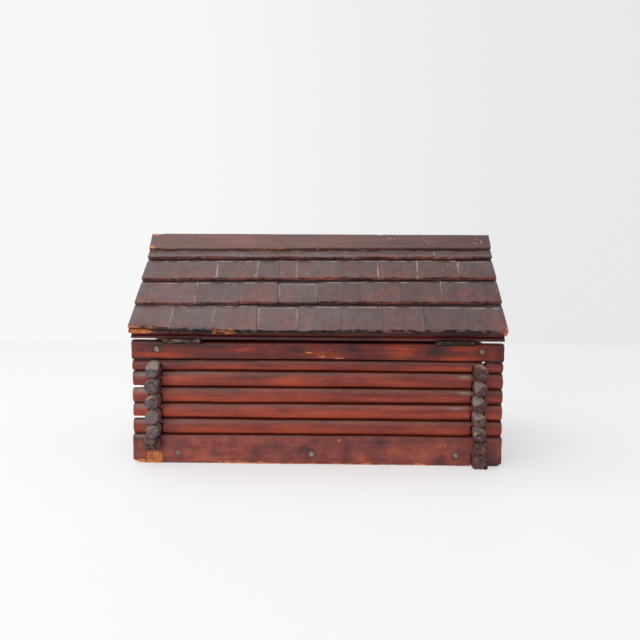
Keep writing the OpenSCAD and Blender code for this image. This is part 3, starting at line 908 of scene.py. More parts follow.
def wall_board(is_rear, kind):
    """Base board or top board of the rear or front wall."""
    node = f"{WALLS[is_rear]}_{kind}_board"
    is_top = kind == "top"
    low, high = heights(node)
    section = outline(
        rectangle(0, low, WALL_THICKNESS, high), [2.5 if is_top else 0.7, 0.6, 0.6, 2.5], 1.8
    )
    # The side base boards pass under the rear and the front one
    right, left = FOOT_SHIFT if is_rear else (0, 0)
    notches = [
        -SIDE_X + left - NOTCH_HALF - (FOOT_WIDER if is_rear else 0),
        -SIDE_X + left + NOTCH_HALF, SIDE_X + right - NOTCH_HALF, SIDE_X + right + NOTCH_HALF,
    ]

    def edges(a):
        """Where the board's lower and upper edges lie."""
        if is_top:
            last = high - 0.15 * (1 + noise_along(a, 50, EDGE_SEED + 2))
            return low + seam(is_rear, 5, a), last + 1.2 * smooth(-a, 140, 175) * is_rear
        first = low + 0.1 * (1 + noise_along(a, 30, EDGE_SEED))
        first = first + 0.2 * (1 + noise_along(a, 4, EDGE_SEED + 1))
        # The lower corners are worn round
        first = first + 2.6 * smooth(-a, 178, HALF_LENGTH) ** 1.5
        first = first + 3.0 * smooth(a, 182, HALF_LENGTH) ** 1.5
        inside = np.searchsorted(notches, a) % 2 == 1
        return np.where(inside, HALVING + NOTCH_PLAY, first), high + seam(is_rear, 0, a)

    def shape(a, section):
        first, last = edges(a)
        share = section[:, 1] - section[:, 1].min()
        return rows(section[:, 0], first + (last - first) * (share / share.max()))

    made = Bar(
        section, stations(-HALF_LENGTH, HALF_LENGTH, 2.4, [] if is_top else notches), shape,
        plank_ends(END_SEED + is_rear, HALF_LENGTH, 0.2), bevel=1.4, rings=6,
    )
    made.place(facing(is_rear, as_rear))
    height = made.local[:, 2]
    # Darker along the long edges that meet the logs and the lid: painted shade with dirt
    near_top = smooth(height, high - 1.6, high)
    near_low = smooth(-height, -low - 1.4, -low) * is_top
    made.groove = 0.8 * np.maximum(near_top, near_low) * (made.end < 0.4)
    made.end *= 0.6
    made.tone += 0.25 * noise_along(made.local[:, 0], 90, TONE_SEED + is_rear)
    made.carve(WALL_BOARD_SEED + is_rear, (0.2, 60, 8, 8), (0.08, 10, 3, 3))
    if is_rear:
        made.mark(WALL_MARKS, wall_place)
    build(node, [made], BOARD_WOOD if is_top else BASE_WOOD)


for is_rear in WALLS:
    for kind in ("base", "top"):
        wall_board(is_rear, kind)


def knife_end(sign, centre, cuts, seed, pits=PITS):
    """End of a side log or foot: the highest of some sloping knife cuts, with a rough surface."""

    def face(p):
        across = p - centre
        depth = np.zeros(len(p))
        for direction, slope, start in cuts:
            t = math.radians(direction)
            reach = across[:, 0] * math.cos(t) + across[:, 1] * math.sin(t) - start
            depth = np.maximum(depth, slope * reach)
        layers = ((1.5, 3.0), (4.5, 7.0), (2.4, 9.0))
        fine, broad, hollow = (noise_at(seed, *(p / size).T, z) for size, z in layers)
        depth += pits * (0.4 + 0.2 * fine + 0.2 * broad + smooth(hollow, 0.35, 0.8))
        return sign * (STUB_END - depth)

    return face


def side_log(side, i):
    low, high = heights(f"{SIDES[side]}_log_{i + 1}")
    middle = (low + high) / 2
    half = (high - low) / 2
    seed = SIDE_LOG_SEED + i + (30 if side > 0 else 0)
    draws = np.random.default_rng(seed)
    dx, dz, wide, tall_stub, cuts = STUBS[side][i]
    far_dx, far_dz = draws.uniform(-1.2, 1.2), draws.uniform(-0.9, 0.3)
    far_cuts = [
        (90 + 120 * k + draws.uniform(-40, 40), draws.uniform(0.4, 0.8), draws.uniform(2.5, 5.0))
        for k in range(3)
    ]
    # Whittled: not quite round
    wobble = 1 - 0.05 * (1 + noise_at(seed, *(LOG_ROUND * 1.3)))
    squared = np.array([[SIDE_HALF], [half]]) * np.sign(LOG_ROUND) * np.abs(LOG_ROUND) ** 0.9

    def shape(a, section):
        near, far = (smooth(sign * a, STRAY_START, STRAY_END) for sign in (-1, 1))
        rear = near * (1 - ROOT_SHIFT) + ROOT_SHIFT * (a < -WALL_BAND[0])
        round_off = 1 - 0.04 * np.maximum(near, far)
        out = smooth(-a, WALL_BAND[1], STUB_CLEAR)
        x = side * SIDE_X + rear * dx + far * far_dx
        z = middle + out * dz + far * far_dz
        tall = np.where(in_band(a), TONGUE / half, 1.0) * round_off
        return rows(
            x + section[:, 0] * (round_off * (1 + (wide - 1) * out)),
            z + section[:, 1] * (tall * (1 + (tall_stub - 1) * out)),
        )

    ends = (
        knife_end(-1, (side * SIDE_X + dx, middle + dz), cuts, seed, PITS if i else LOW_PITS),
        knife_end(1, (side * SIDE_X + far_dx, middle + far_dz), far_cuts, seed + 7),
    )
    places = stations(-STUB_END, STUB_END, 4.0, BAND_BREAKS)
    places = np.union1d(places, [sign * place for sign in SIDES for place in STUB_PLACES])
    made = Bar((squared * wobble).T, places, shape, ends, bevel=0.7, rings=9, reach=12.0)
    made.place(as_side)
    up = (made.local[:, 2] - middle) / half
    stub = smooth(np.abs(made.local[:, 0]), STUB_ROOT, STUB_CLEAR)
    right_stub = (side > 0) * (made.local[:, 0] < -HALF_SPAN)
    # Darker toward the seams above and below: painted shade with dirt
    made.groove = smooth(np.abs(up), 0.85, 1.0) * (1 - stub)
    made.dust = LOG_DUST_AND_SHEEN * smooth(up, 0.3, 0.9) * (1 - stub)
    # The stubs have gone grey and rough like their ends
    made.at_least("end", 0.9 * stub)
    made.end *= 1 - 0.28 * right_stub
    made.tone += LOG_TONE[i] + draws.uniform(-0.2, 0.2)
    # Painted light: the lower half lighter and the upper half darker, as bounce light from the
    # white floor would make them; the right stubs are darker
    made.shade += (0.35 - 0.75 * smooth(up, -0.5, 0.7)) * (1 - stub) - 0.45 * right_stub
    made.edge *= 1 - 0.6 * stub
    made.carve(seed, (0.3, 40, 6, 6), (0.10, 8, 2.5, 2.5), (0.10, 2.5, 1.6, 1.6))
    # Up-facing facets are painted lighter: dust and painted light from above
    made.settle_dust_and_light(1.0, 0.1)
    return made


for side in SIDES:
    for i in range(len(LOG_TONE)):
        build(f"{SIDES[side]}_log_{i + 1}", [side_log(side, i)], LOG_WOOD)


def foot_rest(left, right, top, seed):
    """The upper part of the broken foot, which is still there."""
    stub = outline(rectangle(left, FOOT_BREAK, right, top), [2.0, 2.0, 4.0, 4.0], 1.3)
    stub[:, 0] = right + FOOT_SHIFT[1] - (right - stub[:, 0]) * FOOT_STRETCH
    cuts = ((100, 0.9, 2.4), (0, 0.9, 4.4), (180, 0.8, 4.8), (270, 0.7, 3.0))
    made = Bar(
        stub, np.linspace(-STUB_END, -HALF_SPAN - 0.05, 11), None,
        (knife_end(-1, stub.mean(0), cuts, seed + 9, 1.8), None), bevel=0.7, rings=8, reach=7,
    )
    made.place(as_side)
    made.at_least("end", 0.9)
    made.raw = 0.34 * smooth(FOOT_BREAK + 2.0 - made.local[:, 2], 0, 2.0)
    made.carve(seed + 11, (1.3, 3.5, 2.2, 2.2), (0.4, 1.5, 1.5, 1.5))
    made.settle_dust_and_light(0.4)
    return made


def side_base(side):
    """Side base board, whose ends are feet. The left rear one has lost its lower part."""
    node = f"{SIDES[side]}_base_board"
    (left, _, _), (right, _, top) = span(node)
    broken = side < 0
    seed = SIDE_BASE_SEED + (not broken)
    low_radius = 0.8 if broken else 1.4
    section = outline(rectangle(left, 0, right, top), [low_radius, low_radius, 3.0, 3.0], 1.8, 5)

    def shape(a, section):
        foot = (a < -WALL_BAND[0]) * 1.0
        u = FOOT_SHIFT[broken] * foot + section[:, 0]
        if broken:
            u -= FOOT_WIDER * foot * (right - section[:, 0]) / (right - left)
        tall = np.where(in_band(a), HALVING - NOTCH_PLAY, top)
        return rows(u, section[:, 1] * (tall / top))

    def torn_end(p):
        return start + 0.35 * (1 + noise_at(seed, p[:, 0] / 1.1, p[:, 1] / 3.5))

    middle = np.array([(left + right) / 2, top / 2])
    cuts = ((90, 0.5, 11.0), (0, 0.8, 5.8), (180, 0.8, 5.6))
    start = -HALF_SPAN - 0.3 if broken else -STUB_END
    breaks = [b for b in BAND_BREAKS if b > -HALF_SPAN or not broken]
    signs = (1,) if broken else (1, -1)
    places = np.union1d(
        stations(start, STUB_END, 4.0, breaks), [s * place for s in signs for place in STUB_PLACES]
    )
    whole_end = knife_end(-1, middle + (FOOT_SHIFT[0], 0), cuts, seed, 1.5)
    ends = (torn_end if broken else whole_end, knife_end(1, middle, cuts, seed + 5, 1.2))
    made = Bar(section, places, shape, ends, bevel=0.3 if broken else 0.9, rings=12, reach=8)
    made.place(as_side)
    made.at_least("end", 0.9 * smooth(np.abs(made.local[:, 0]), FOOT_ROOT, STUB_CLEAR))
    made.edge *= 0.6
    made.carve(seed, (0.25, 50, 8, 8), (0.1, 8, 3, 3), (0.1 if broken else 1.3, 2.2, 1.8, 1.8))
    bars = [made]
    if broken:
        # The broken face is flush with the wall: bare at its lower right, stained above, and
        # painted darker toward the top as the shadow of the stub above
        face = made.local[:, 0] < 2 - HALF_SPAN
        x, z = made.points[:, 0], made.points[:, 2]
        torn = noise_at(seed + 3, x / 2.0, z / 5.0)
        made.raw = face * (0.90 - 0.020 * np.maximum(-163 - x, 0) - 0.030 * z + 0.22 * torn)
        made.end[face] = 0.0
        made.edge[face] = 0.0
        made.shade += 0.5 * face
        bars.append(foot_rest(left, right, top, seed))
    build(node, bars, FOOT_WOOD)


for side in SIDES:
    side_base(side)


def plain_bar(corners, radii, half, place, seed, step=4.0, pitch=5.0, bevel=0.6, uneven=0.15):
    """Straight board with slightly rounded edges, along its own a."""
    made = Bar(
        outline(corners, radii, step, 3), stations(-half, half, pitch), None,
        plank_ends(seed, half, 0.3), bevel=bevel, rings=6,
    )
    made.place(place)
    made.tone += np.random.default_rng(seed).uniform(-0.4, 0.4)
    made.carve(seed, (uneven, 50, 8, 8), (0.05, 9, 3, 3))
    return made


for side in SIDES:
    node = f"{SIDES[side]}_top_board"
    low, high = span(node)
    corners = rectangle(low[0], low[2], high[0], high[2])
    made = plain_bar(corners, [0.8] * 4, high[1], as_side, SIDE_TOP_SEED + int(side), 2.5)
    # Darker along the lower edge, where it meets the log: painted shade with dirt
    made.groove = 0.7 * smooth(-made.local[:, 2], -low[2] - 1.5, -low[2])
    build(node, [made], BOARD_WOOD)

low, high = span("floor_board")
corners = rectangle(low[1], low[2], high[1], high[2])
made = plain_bar(corners, [0.5] * 4, high[0], as_length, FLOOR_SEED, 5.0, 6.0)
build("floor_board", [made], PLAIN_WOOD)

LINING, LINING_GAP = 3.5, 0.1
low, high = span("lining_boards")
bars = []
for across, half, place, seed in (
    (1, high[0], as_length, LINING_SEEDS[0]),
    (0, high[1] - LINING - LINING_GAP, as_side, LINING_SEEDS[1]),
):
    for sign in SIDES:
        middle = sign * (high[across] - LINING / 2)
        corners = rectangle(middle - LINING / 2, low[2], middle + LINING / 2, high[2])
        bars.append(plain_bar(corners, [0.4] * 4, half, place, seed + int(sign), 4.0, 6.0))
build("lining_boards", bars, PLAIN_WOOD)


# Lid

# How far the rails and gable boards stay off the roof boards
ROOF_PLAY = 0.1
# How far the roof boards reach beyond the wall's face, down the slope
BOARD_DRIP = 1.5
# How far the starter strip reaches up the slope, and its extent square to it
STARTER_UP = 14
STARTER_LOW, STARTER_HIGH = 0.05, SHINGLE_STACK - SHINGLE - 0.1
# Slope of each course's shingles against the roof
SLANTS = [math.atan(SHINGLE_RISE / shown) for shown in SHOWS]


def under_roof(y):
    """Height under the roof boards."""
    return LID_LOW + RAIL_FACE + (HALF_SPAN - y) * math.tan(ROOF_SLOPE) - ROOF_PLAY


for is_rear in WALLS:
    bottom = LID_LOW if is_rear else LID_REST
    corners = [
        (0, bottom), (RAIL_DEPTH, bottom),
        (RAIL_DEPTH, under_roof(HALF_SPAN - RAIL_DEPTH)), (0, under_roof(HALF_SPAN)),
    ]
    place = facing(is_rear, as_rear)
    made = plain_bar(
        corners, [0.7, 0.5, 0.5, 0.4], HALF_LENGTH, place, RAIL_SEED + is_rear, 2.5, 4.0
    )
    if is_rear:
        # The rear rail rises at its left end
        x, _, z = made.points.T
        rise = 0.9 * smooth(-x, 146, 172) * (1 - smooth(z, LID_LOW + 0.5, LID_LOW + 2.8))
        made.points[:, 2] += rise
    # Painted shade: the rails are darkened as if shadowed by the eave's overhang
    made.shade -= 0.7
    build(f"{WALLS[is_rear]}_lid_rail", [made], BOARD_WOOD)

    far = ROOF_LENGTH - ROOF_BOARD * math.tan(ROOF_SLOPE) - FIT
    corners = [
        (-BOARD_DRIP, 0), (-BOARD_DRIP, -ROOF_BOARD), (far, -ROOF_BOARD), (ROOF_LENGTH - FIT, 0),
    ]
    place = facing(is_rear, as_slope)
    made = plain_bar(
        corners, [0.5, 0.5, 0.3, 0.3], HALF_LENGTH, place, ROOF_BOARD_SEED + is_rear, 5.0, 6.0
    )
    made.shade -= 0.3
    build(f"{WALLS[is_rear]}_roof_board", [made], BOARD_WOOD)

for side in SIDES:
    node = f"{SIDES[side]}_gable_board"
    low, high = span(node)
    inner = high[1]
    corners = [
        (-inner, LID_LOW), (inner, LID_REST), (inner, under_roof(inner)),
        (0, under_roof(0)), (-inner, under_roof(inner)),
    ]
    section = outline(corners, [0.8, 0.8, 0.6, 0.6, 0.6], 4.0, 3)
    thick = (high[0] - low[0]) / 2
    centre = (low[0] + high[0]) / 2
    made = Bar(section, [-thick, -thick / 3, thick / 3, thick], bevel=0.5, rings=12, reach=3)
    made.place(lambda p: p + np.array([centre, 0, 0]))
    # The grain runs along Y, so the broad faces are long grain and the edges are not ends
    made.local = made.local[:, [1, 0, 2]]
    made.end *= 0
    made.tone += 0.2 * side
    made.carve(GABLE_SEED + int(side), (0.2, 60, 8, 8), (0.06, 10, 3, 3))
    build(node, [made], BOARD_WOOD)

# Marks on the rear slope: place along X and up the slope, reach each way, strength
ROOF_MARKS = {
    "raw": (
        (-181, -3.5, 21, 6.4, 0.90), (-103, -5.0, 3.2, 4.0, 0.95),
        (-88.5, -6.5, 8.5, 5.4, 0.95), (188, -3.5, 3.4, 5.5, 1.0),
    ),
    "dark": ((-120, -6, 40, 2.5, 1.6), (20, -8, 90, 2.0, 1.0)),
    "speck": ((0, 70, 400, 90, 0.5), (130, 100, 60, 60, 0.72)),
}

for is_rear in WALLS:
    corners = [
        (-SHINGLE_DRIP, STARTER_LOW), (STARTER_UP, STARTER_LOW),
        (STARTER_UP, STARTER_HIGH - (STARTER_UP + SHINGLE_DRIP) * math.tan(SLANTS[0])),
        (-SHINGLE_DRIP, STARTER_HIGH),
    ]
    made = plain_bar(
        corners, [0.5, 0.2, 0.2, 0.5], SHINGLE_HALF, facing(is_rear, as_slope),
        STARTER_SEED + is_rear, *((1.0, 1.2) if is_rear else (3.0, 4.0)), 0.5, 0.5,
    )
    x, up, out = made.local.T
    made.shade += 1.4 * smooth(-x, 120, 130) - 1.0
    if is_rear:
        # Its left part has crumbled like the eave above it, with painted shade in the pits
        fine = noise_at(CRUMB_SEED, x / 1.9, up / 3.0, out / 2.6)
        crumbs = smooth(-x, 50, 90) * smooth(-up, 2.4, 3.2) * (0.35 + 0.65 * smooth(out, 0.8, 2.4))
        made.groove = 1.6 * crumbs * smooth(fine, -0.25, 0.15)
        made.carve(CRUMB_SEED + 1, (1.1, 1.7, 1.4, 1.4), where=crumbs)
        made.mark({"raw": ROOF_MARKS["raw"]}, slope_place)
    build(f"{WALLS[is_rear]}_starter_strip", [made], SHINGLE_WOOD)

# Joints and cracks of the rear courses, from the eave up, by what is seen of them: place along X
# at the butt and under the course above
DARK, LIGHT, FAINT, BORDER = "dark", "light", "faint", "border"
REAR_JOINTS = (
    {
        DARK: ((23.9, 24.1), (65.2, 65.6), (107.9, 107.7)),
        LIGHT: ((-146.7, -148.7), (-103.3, -106.3)),
        FAINT: ((-60.0, -62.1), (-17.9, -19.6), (152.0, 153.1)),
    },
    {
        DARK: ((-41.2, -42.9), (44.0, 43.6)),
        LIGHT: ((-126.5, -129.1), (129.6, 129.4)),
        FAINT: ((-170.1, -174.1), (-81.9, -84.1), (0.6, -0.3), (85.5, 86.0), (173.2, 173.0)),
    },
    {
        DARK: ((-41.8, -43.8),),
        LIGHT: ((-108.9, -111.3), (-66.1, -66.2), (-23.3, -24.1), (63.3, 64.1), (105.2, 107.2)),
        FAINT: ((-142.5, -146.1), (20.4, 20.4), (71.2, 69.9), (113.1, 112.9), (148.1, 149.5)),
    },
    {
        DARK: ((-131.9, -129.0), (-45.8, -46.8)),
        LIGHT: ((40.0, 38.0), (82.5, 83.8), (126.2, 127.3)),
        FAINT: ((-89.6, -90.8), (-3.5, -3.0), (105.3, 107.5), (160.0, 160.5)),
    },
)
# Radius of a shingle's edges, and how far they stay off each kind of joint
EDGE_RADIUS = {DARK: 0.28, LIGHT: 0.08, FAINT: 0.08, BORDER: 0.5}
JOINT_GAP = {DARK: 0.05, LIGHT: 0.0, FAINT: 0.0, BORDER: 0.0}
# Shingles with a raised face: course and place among the rest
RAISED = ((0, 3), (1, 4), (2, 11))
# Radius of the face's upper corners, and how far it stays off the course above
CORNER_ROUND = 4.8
RAISED_TOP = 4.0
# How far each course strays along the slope at its left end; the right end strays the other way
COURSE_DRIFT = (0.0, -2.5, -2.0, -1.3)
# How much dustier each rear or front course is, the uppermost partly as painted light, and how
# strongly its light joints show
COURSE_DUST_AND_LIGHT = (0.12, 0, 0, 0.36)
COURSE_CHALK = (0.6, 1.0, 1.0, 1.35)
# Depth of the gap under the butts of the course above
COVER_GAP = 1.4
# How much is seen of the uppermost course
TOP_SHOW = 15.0
# Places of a shingle's points round the edge of the course above
NEAR_COVER = np.array(
    [-10, -9, -8.2, -7.4, -6.6, -5.8, -5.0, -4.2, -3.4, -2.7, -2.0, -1.3, -0.6, 0.2, 1.2]
)
# Bites out of the eave: place along X, reach, depth
EAVE_BITES = (
    (-178, 9, 1.6), (-101, 2.5, 1.2), (-90, 6, 1.6), (-30, 4, 0.8), (60, 5, 0.8), (188, 4, 2.6),
)
# How far the rear eave strays up the slope at places along X
EAVE_X = (-189, -167, -139, -119, -89, -60, -18, 8, 25, 80, 125, 189)
EAVE_UP = (1.9, 1.3, -1.0, -2.7, -3.5, -4.4, -4.4, -3.0, -2.0, -1.9, -1.3, -1.0)
# How far the eave stays off the rear wall with the lid fully open
EAVE_CLEAR = 0.35


def slab_section(half, thick, left, right, pitch):
    """Outline of a shingle with rounded edges of radius left and right, as wide as 2 half.

    It has points close to both edges, so that narrow marks stay narrow.
    """
    near = [half - d for d in (0.95, 1.9) if d < half - 0.5]
    count = max(1, math.ceil(2 * near[-1] / pitch))
    inner = list(np.linspace(near[-1], -near[-1], count + 1))
    top = [(half, thick - right), (half - 0.3 * right, thick - 0.3 * right), (half - right, thick)]
    top += [(u, thick) for u in near[:-1] + inner + [-n for n in near[-2::-1]]]
    top += [(-half + left, thick), (-half + 0.3 * left, thick - 0.3 * left), (-half, thick - left)]
    return np.array([(-half, 0.0), (0.0, 0.0), (half, 0.0), *top])


def clear_of_wall(points):
    """Moves the closed lid's points back to where they stay clear of the rear wall as it opens."""
    up = points[:, 2] - HINGE_Z
    reach = HALF_SPAN + EAVE_CLEAR + HINGE_Y - up * math.sin(LID_OPEN)
    clear = points.copy()
    clear[:, 1] = np.maximum(points[:, 1], HINGE_Y - reach / math.cos(LID_OPEN))
    return clear


def shingle(is_rear, k, seed, left, right, raised, draws):
    """One shingle of course k between two joints.

    Each joint is its place along X at the butt and under the course above, and what is seen of it.
    """
    half = (right[0] - left[0]) / 2
    centre = (left[0] + right[0]) / 2
    thick = SHINGLE - draws.uniform(0, 0.3) * (not raised)
    slide = draws.uniform(-0.35, 0.35)
    drift = COURSE_DRIFT[k] * (-centre / SHINGLE_HALF) if is_rear else 0.6 * draws.uniform(-1, 1)
    own_seed = int(draws.integers(1, 10**6))
    round_corner = 1.2 if raised else 0.5
    shown = TOP_SHOW if k == len(BUTTS) - 1 else SHOWS[k]
    is_low = k == 0
    is_eave = is_low and is_rear
    slant = SLANTS[k]

    def sides(a):
        """Where the shingle's two sides lie; they run along its joints."""
        t = a / SHOWS[k]
        first = left[0] + (left[1] - left[0]) * t + JOINT_GAP[left[2]] - centre
        last = right[0] + (right[1] - right[0]) * t - JOINT_GAP[right[2]] - centre
        return first, last

    def shape(a, section):
        first, last = sides(a)
        share = (section[:, 0] + half) / (2 * half)
        return rows(first + (last - first) * share, section[:, 1])

    def worn(x):
        """Where the butts crumble."""
        return smooth(noise_along(x, 16, BUTT_SEED + k), 0.0, 0.5)

    def butt(p):
        u, v = p.T
        ragged = noise_at(own_seed, u / 2.2, v / 1.5)
        back = 0.3 * (1 + ragged) + 0.3 * (1 + noise_at(own_seed + 1, u / 11))
        crumbled = (worn(u + centre) + is_low) * (1.0 + ragged) * smooth(2.6 - v, 0, 1.5)
        back += crumbled * (1.0 if is_low else 0.6)
        to_side = np.maximum(half - np.abs(u), 0)
        back += round_corner * np.clip(1 - to_side / (1.5 + round_corner), 0, 1) ** 2
        if is_eave:
            back += np.interp(u + centre, EAVE_X, EAVE_UP)
            for x, reach, depth in EAVE_BITES:
                back += depth * hump(u + centre - x, reach) * (0.6 + 0.5 * ragged)
        return back

    def move(p):
        a = p[:, 0] + slide + drift
        v = p[:, 2] - thick
        s = BUTTS[k] + a * math.cos(slant) + v * math.sin(slant)
        n = SHINGLE_STACK - p[:, 0] * math.sin(slant) + v * math.cos(slant)
        return on_roof(centre + p[:, 1], s, n)

    places = np.union1d(np.linspace(0, LENGTHS[k], 14), [0.9, 1.8])
    if is_eave:
        places = np.union1d(places[places > 8], np.arange(0, 8.4, 0.8))
    places = places[np.abs(places - shown + 4.4) > 6.4]
    pitch = 2.4 if not is_rear else 1.0 if is_low else 1.7
    made = Bar(
        slab_section(half, thick, EDGE_RADIUS[left[2]], EDGE_RADIUS[right[2]], pitch),
        np.union1d(places, shown + NEAR_COVER), shape, (butt, None),
        bevel=0.35, rings=3, reach=14 if is_low else 6,
    )
    a, u, v = made.local.T.copy()
    x = u + centre
    first, last = sides(a)
    to_left, to_right = u - first, last - u
    to_side = np.minimum(to_left, to_right)
    on_top = smooth(v, thick - 0.7, thick - 0.1)
    upper_part = smooth(v, 0.6, thick)
    # A dark gap under the butts of the course above
    made.local[:, 2] -= COVER_GAP * smooth(a, shown - 2.0, shown + 0.2) * upper_part
    # Dust and painted sheen lie toward the butts of the course above, and dust in the light joints
    patchy = 0.8 * noise_at(seed + 2, x / 17, a / 10) + 0.45 * noise_at(seed + 3, x / 6.5, a / 4.5)
    if is_rear:
        patchy *= 1 - 0.4 * smooth(x, 60, 120)
    dust = 0.20 + 0.24 * smooth(a, 0.2 * shown, shown) + 0.24 * patchy + COURSE_DUST_AND_LIGHT[k]
    chalk = hump(a - shown + 3.0, 1.1) * (0.22 + 0.45 * noise_along(x, 7, seed + 4))
    if raised:
        # Distance into a face with round upper corners
        across = CORNER_ROUND - np.minimum(to_side, CORNER_ROUND)
        along = CORNER_ROUND - np.clip(shown - RAISED_TOP - a, -4, CORNER_ROUND)
        inside = CORNER_ROUND - np.hypot(across, along)
        made.local[:, 2] -= 1.1 * (1 - smooth(inside, -0.6, 1.2)) * upper_part
        # A light rim round the rounded corners: chalky dust and a painted highlight on the edge
        rim = 0.8 * hump(inside - 0.9, 0.7) * smooth(a, 0, 34)
        chalk = np.maximum(chalk, rim * (0.55 + 0.45 * noise_along(u, 9, own_seed + 6)))
        # Painted shade outside the rounded corners, as in a shadowed recess
        hollow = on_top * (1 - smooth(inside, -0.9, 0.1)) * smooth(a, 8, 20)
        made.at_least("groove", 0.95 * hollow)
        dust += 0.4 * hump(np.minimum(inside, 9), 4.5) * smooth(a, 0, 20)
    if is_rear:
        dust *= 1 - 0.3 * smooth(x, -20, 90)
    made.place(facing(is_rear, move))
    for (_, _, seen), distance in ((left, to_left), (right, to_right)):
        close = hump(distance, 0.55)
        if seen == LIGHT:
            strength = (0.30 + 0.6 * noise_along(a, 9, own_seed + 2)) * COURSE_CHALK[k]
            chalk = np.maximum(chalk, strength * close)
        elif seen != BORDER:
            made.at_least("groove", (0.75 if seen == DARK else 0.3) * close)
    made.dust = np.clip(dust, 0, 1) * on_top
    made.chalk = np.clip(chalk, 0, 1) * on_top
    made.tone += draws.uniform(-0.35, 0.35)
    made.shade += 0.15 * noise_along(u, 9, own_seed) + 0.25 - 0.5 * smooth(a, 0, shown)
    made.shade -= 0.42 * patchy
    made.edge *= 0.75
    made.end[a > 5] = 0
    flat = (v > thick - 0.01) * smooth(to_side, 0, 1.5)
    made.carve(own_seed, (0.22, 25, 7, 50), (0.08, 9, 1.6, 50), where=flat)
    # The butts crumble in places, and the eave all along; the pits are painted near-black as shade
    fine = noise_at(seed + 8, x / 2.1, a / 2.8, v / 2.5)
    broken = worn(x)
    from_butt = a - butt(np.column_stack([u, np.full_like(u, thick)]))
    if is_eave:
        depth = (2.6 + 3.4 * smooth(-u - centre, 30, 70)) * (0.6 + 0.4 * broken)
    else:
        depth = 1.2 * smooth(broken, 0.3, 0.9) + 0.01
    crumbs = (1 - smooth(from_butt, 0.5 * depth, depth)) * (a < 12)
    pits = crumbs * smooth(fine, -0.25, 0.15)
    made.at_least("groove", (1.6 if is_low else 1.2) * pits)
    free = (v > 0.3) * (to_side > 0.3) * (1.0 if is_low else 0.5)
    made.carve(own_seed + 3, (1.2, 1.6, 1.5, 1.5), where=(crumbs + 0.9 * pits) * free)
    if is_rear:
        made.mark(ROOF_MARKS, slope_place)
        made.groove *= 1 - 0.28 * np.clip(made.raw, 0, 1)
    if is_eave:
        made.points = clear_of_wall(made.points)
    return made


def course(is_rear, k):
    """One course of shingles, as separate uneven slabs."""
    seed = COURSE_SEED + 10 * k + (0 if is_rear else 5)
    draws = np.random.default_rng(seed)
    joints = sorted((*pair, seen) for seen, pairs in REAR_JOINTS[k].items() for pair in pairs)
    if not is_rear:
        shifts = draws.uniform(5, 13, len(joints))
        joints = [(low + d, high + d, seen) for (low, high, seen), d in zip(joints, shifts)]
        joints = [joint for joint in joints if joint[0] < 183]
    edges = [(-SHINGLE_HALF, -SHINGLE_HALF, BORDER), *joints, (SHINGLE_HALF, SHINGLE_HALF, BORDER)]
    return [
        shingle(is_rear, k, seed, left, right, is_rear and (k, number) in RAISED, draws)
        for number, (left, right) in enumerate(zip(edges, edges[1:]))
    ]


for is_rear in WALLS:
    for k in range(len(BUTTS)):
        node = f"{WALLS[is_rear]}_shingles_{k + 1}"
        build(node, course(is_rear, k), SHINGLE_WOOD)

# Marks on the rear ridge board: place along X and up the board from its lower edge
RIDGE_MARKS = {
    "raw": (
        (-184, 20.5, 6, 3.4, 0.80), (-186, 0.5, 7, 3.4, 0.72), (70, 0.0, 120, 2.4, 0.50),
        (-60, 0.0, 70, 2.4, 0.56), (67, 22, 4.0, 1.6, 0.9), (-2, 0.4, 3.0, 1.5, 0.9),
    ),
    "dark": ((150, 12, 80, 14, 0.5),),
    "bright": ((-90, 12, 40, 10, 0.5),),
    "speck": (
        (78, 17, 16, 7, 1.25), (118, 13, 24, 8, 1.05), (150, 9, 16, 8, 0.85),
        (176, 12, 12, 8, 1.4), (-10, 10, 30, 8, 0.5),
    ),
}
# Chips out of the rear ridge board's lower and upper edge: place along X, reach, depth
LOWER_CHIPS = ((-182, 5, 1.0), (-140, 5, 0.5), (-2, 2.5, 0.9), (8, 2, 0.5))
UPPER_CHIPS = ((-182, 6, 1.0), (67, 3, 0.5))


def chips(a, places):
    """How deep the chips are at each place."""
    return sum((depth * hump(a - x, reach, 4) for x, reach, depth in places), np.zeros_like(a))


def ridge(is_rear):
    node = f"{WALLS[is_rear]}_ridge_board"
    low, high = span(node)
    # The ridge boards stand at 45 degrees
    rise = math.sqrt(0.5)
    inner_y = (low[1] if is_rear else -high[1]) + RIDGE_BOARD * rise
    width = (high[2] - low[2]) / rise - RIDGE_BOARD
    section = outline(rectangle(0, 0, width, RIDGE_BOARD), [0.4, 0.4, 0.7, 0.7], 2.0)
    seed = RIDGE_SEED + (not is_rear)
    skew = (-2.2, 1.8) if is_rear else (0.2, 0.6)

    def shape(a, section):
        share = 1 - section[:, 0] / width
        lower = skew[0] + (skew[1] - skew[0]) * smooth(a, -1.3 * high[0], 1.3 * high[0])
        lower = lower + 0.25 * (noise_along(a, 14, seed) + 1) + is_rear * chips(a, LOWER_CHIPS)
        upper = is_rear * chips(a, UPPER_CHIPS)
        return rows(section[:, 0] + share * lower - (1 - share) * upper, section[:, 1])

    made = Bar(
        section, stations(-high[0], high[0], 2.6), shape, plank_ends(seed, high[0], 0.2), bevel=0.5
    )

    def move(p):
        a, u, v = p.T
        return np.column_stack([a, inner_y + (u - v) * rise, low[2] + (u + v) * rise])

    made.place(facing(is_rear, move))
    made.carve(seed, (0.15, 45, 6, 50), (0.06, 8, 2, 50))
    made.dust += 0.12
    if is_rear:
        made.mark(RIDGE_MARKS, lambda p: made.local.T[:2])
    build(node, [made], RIDGE_WOOD)


for is_rear in WALLS:
    ridge(is_rear)

# Hinges and nails

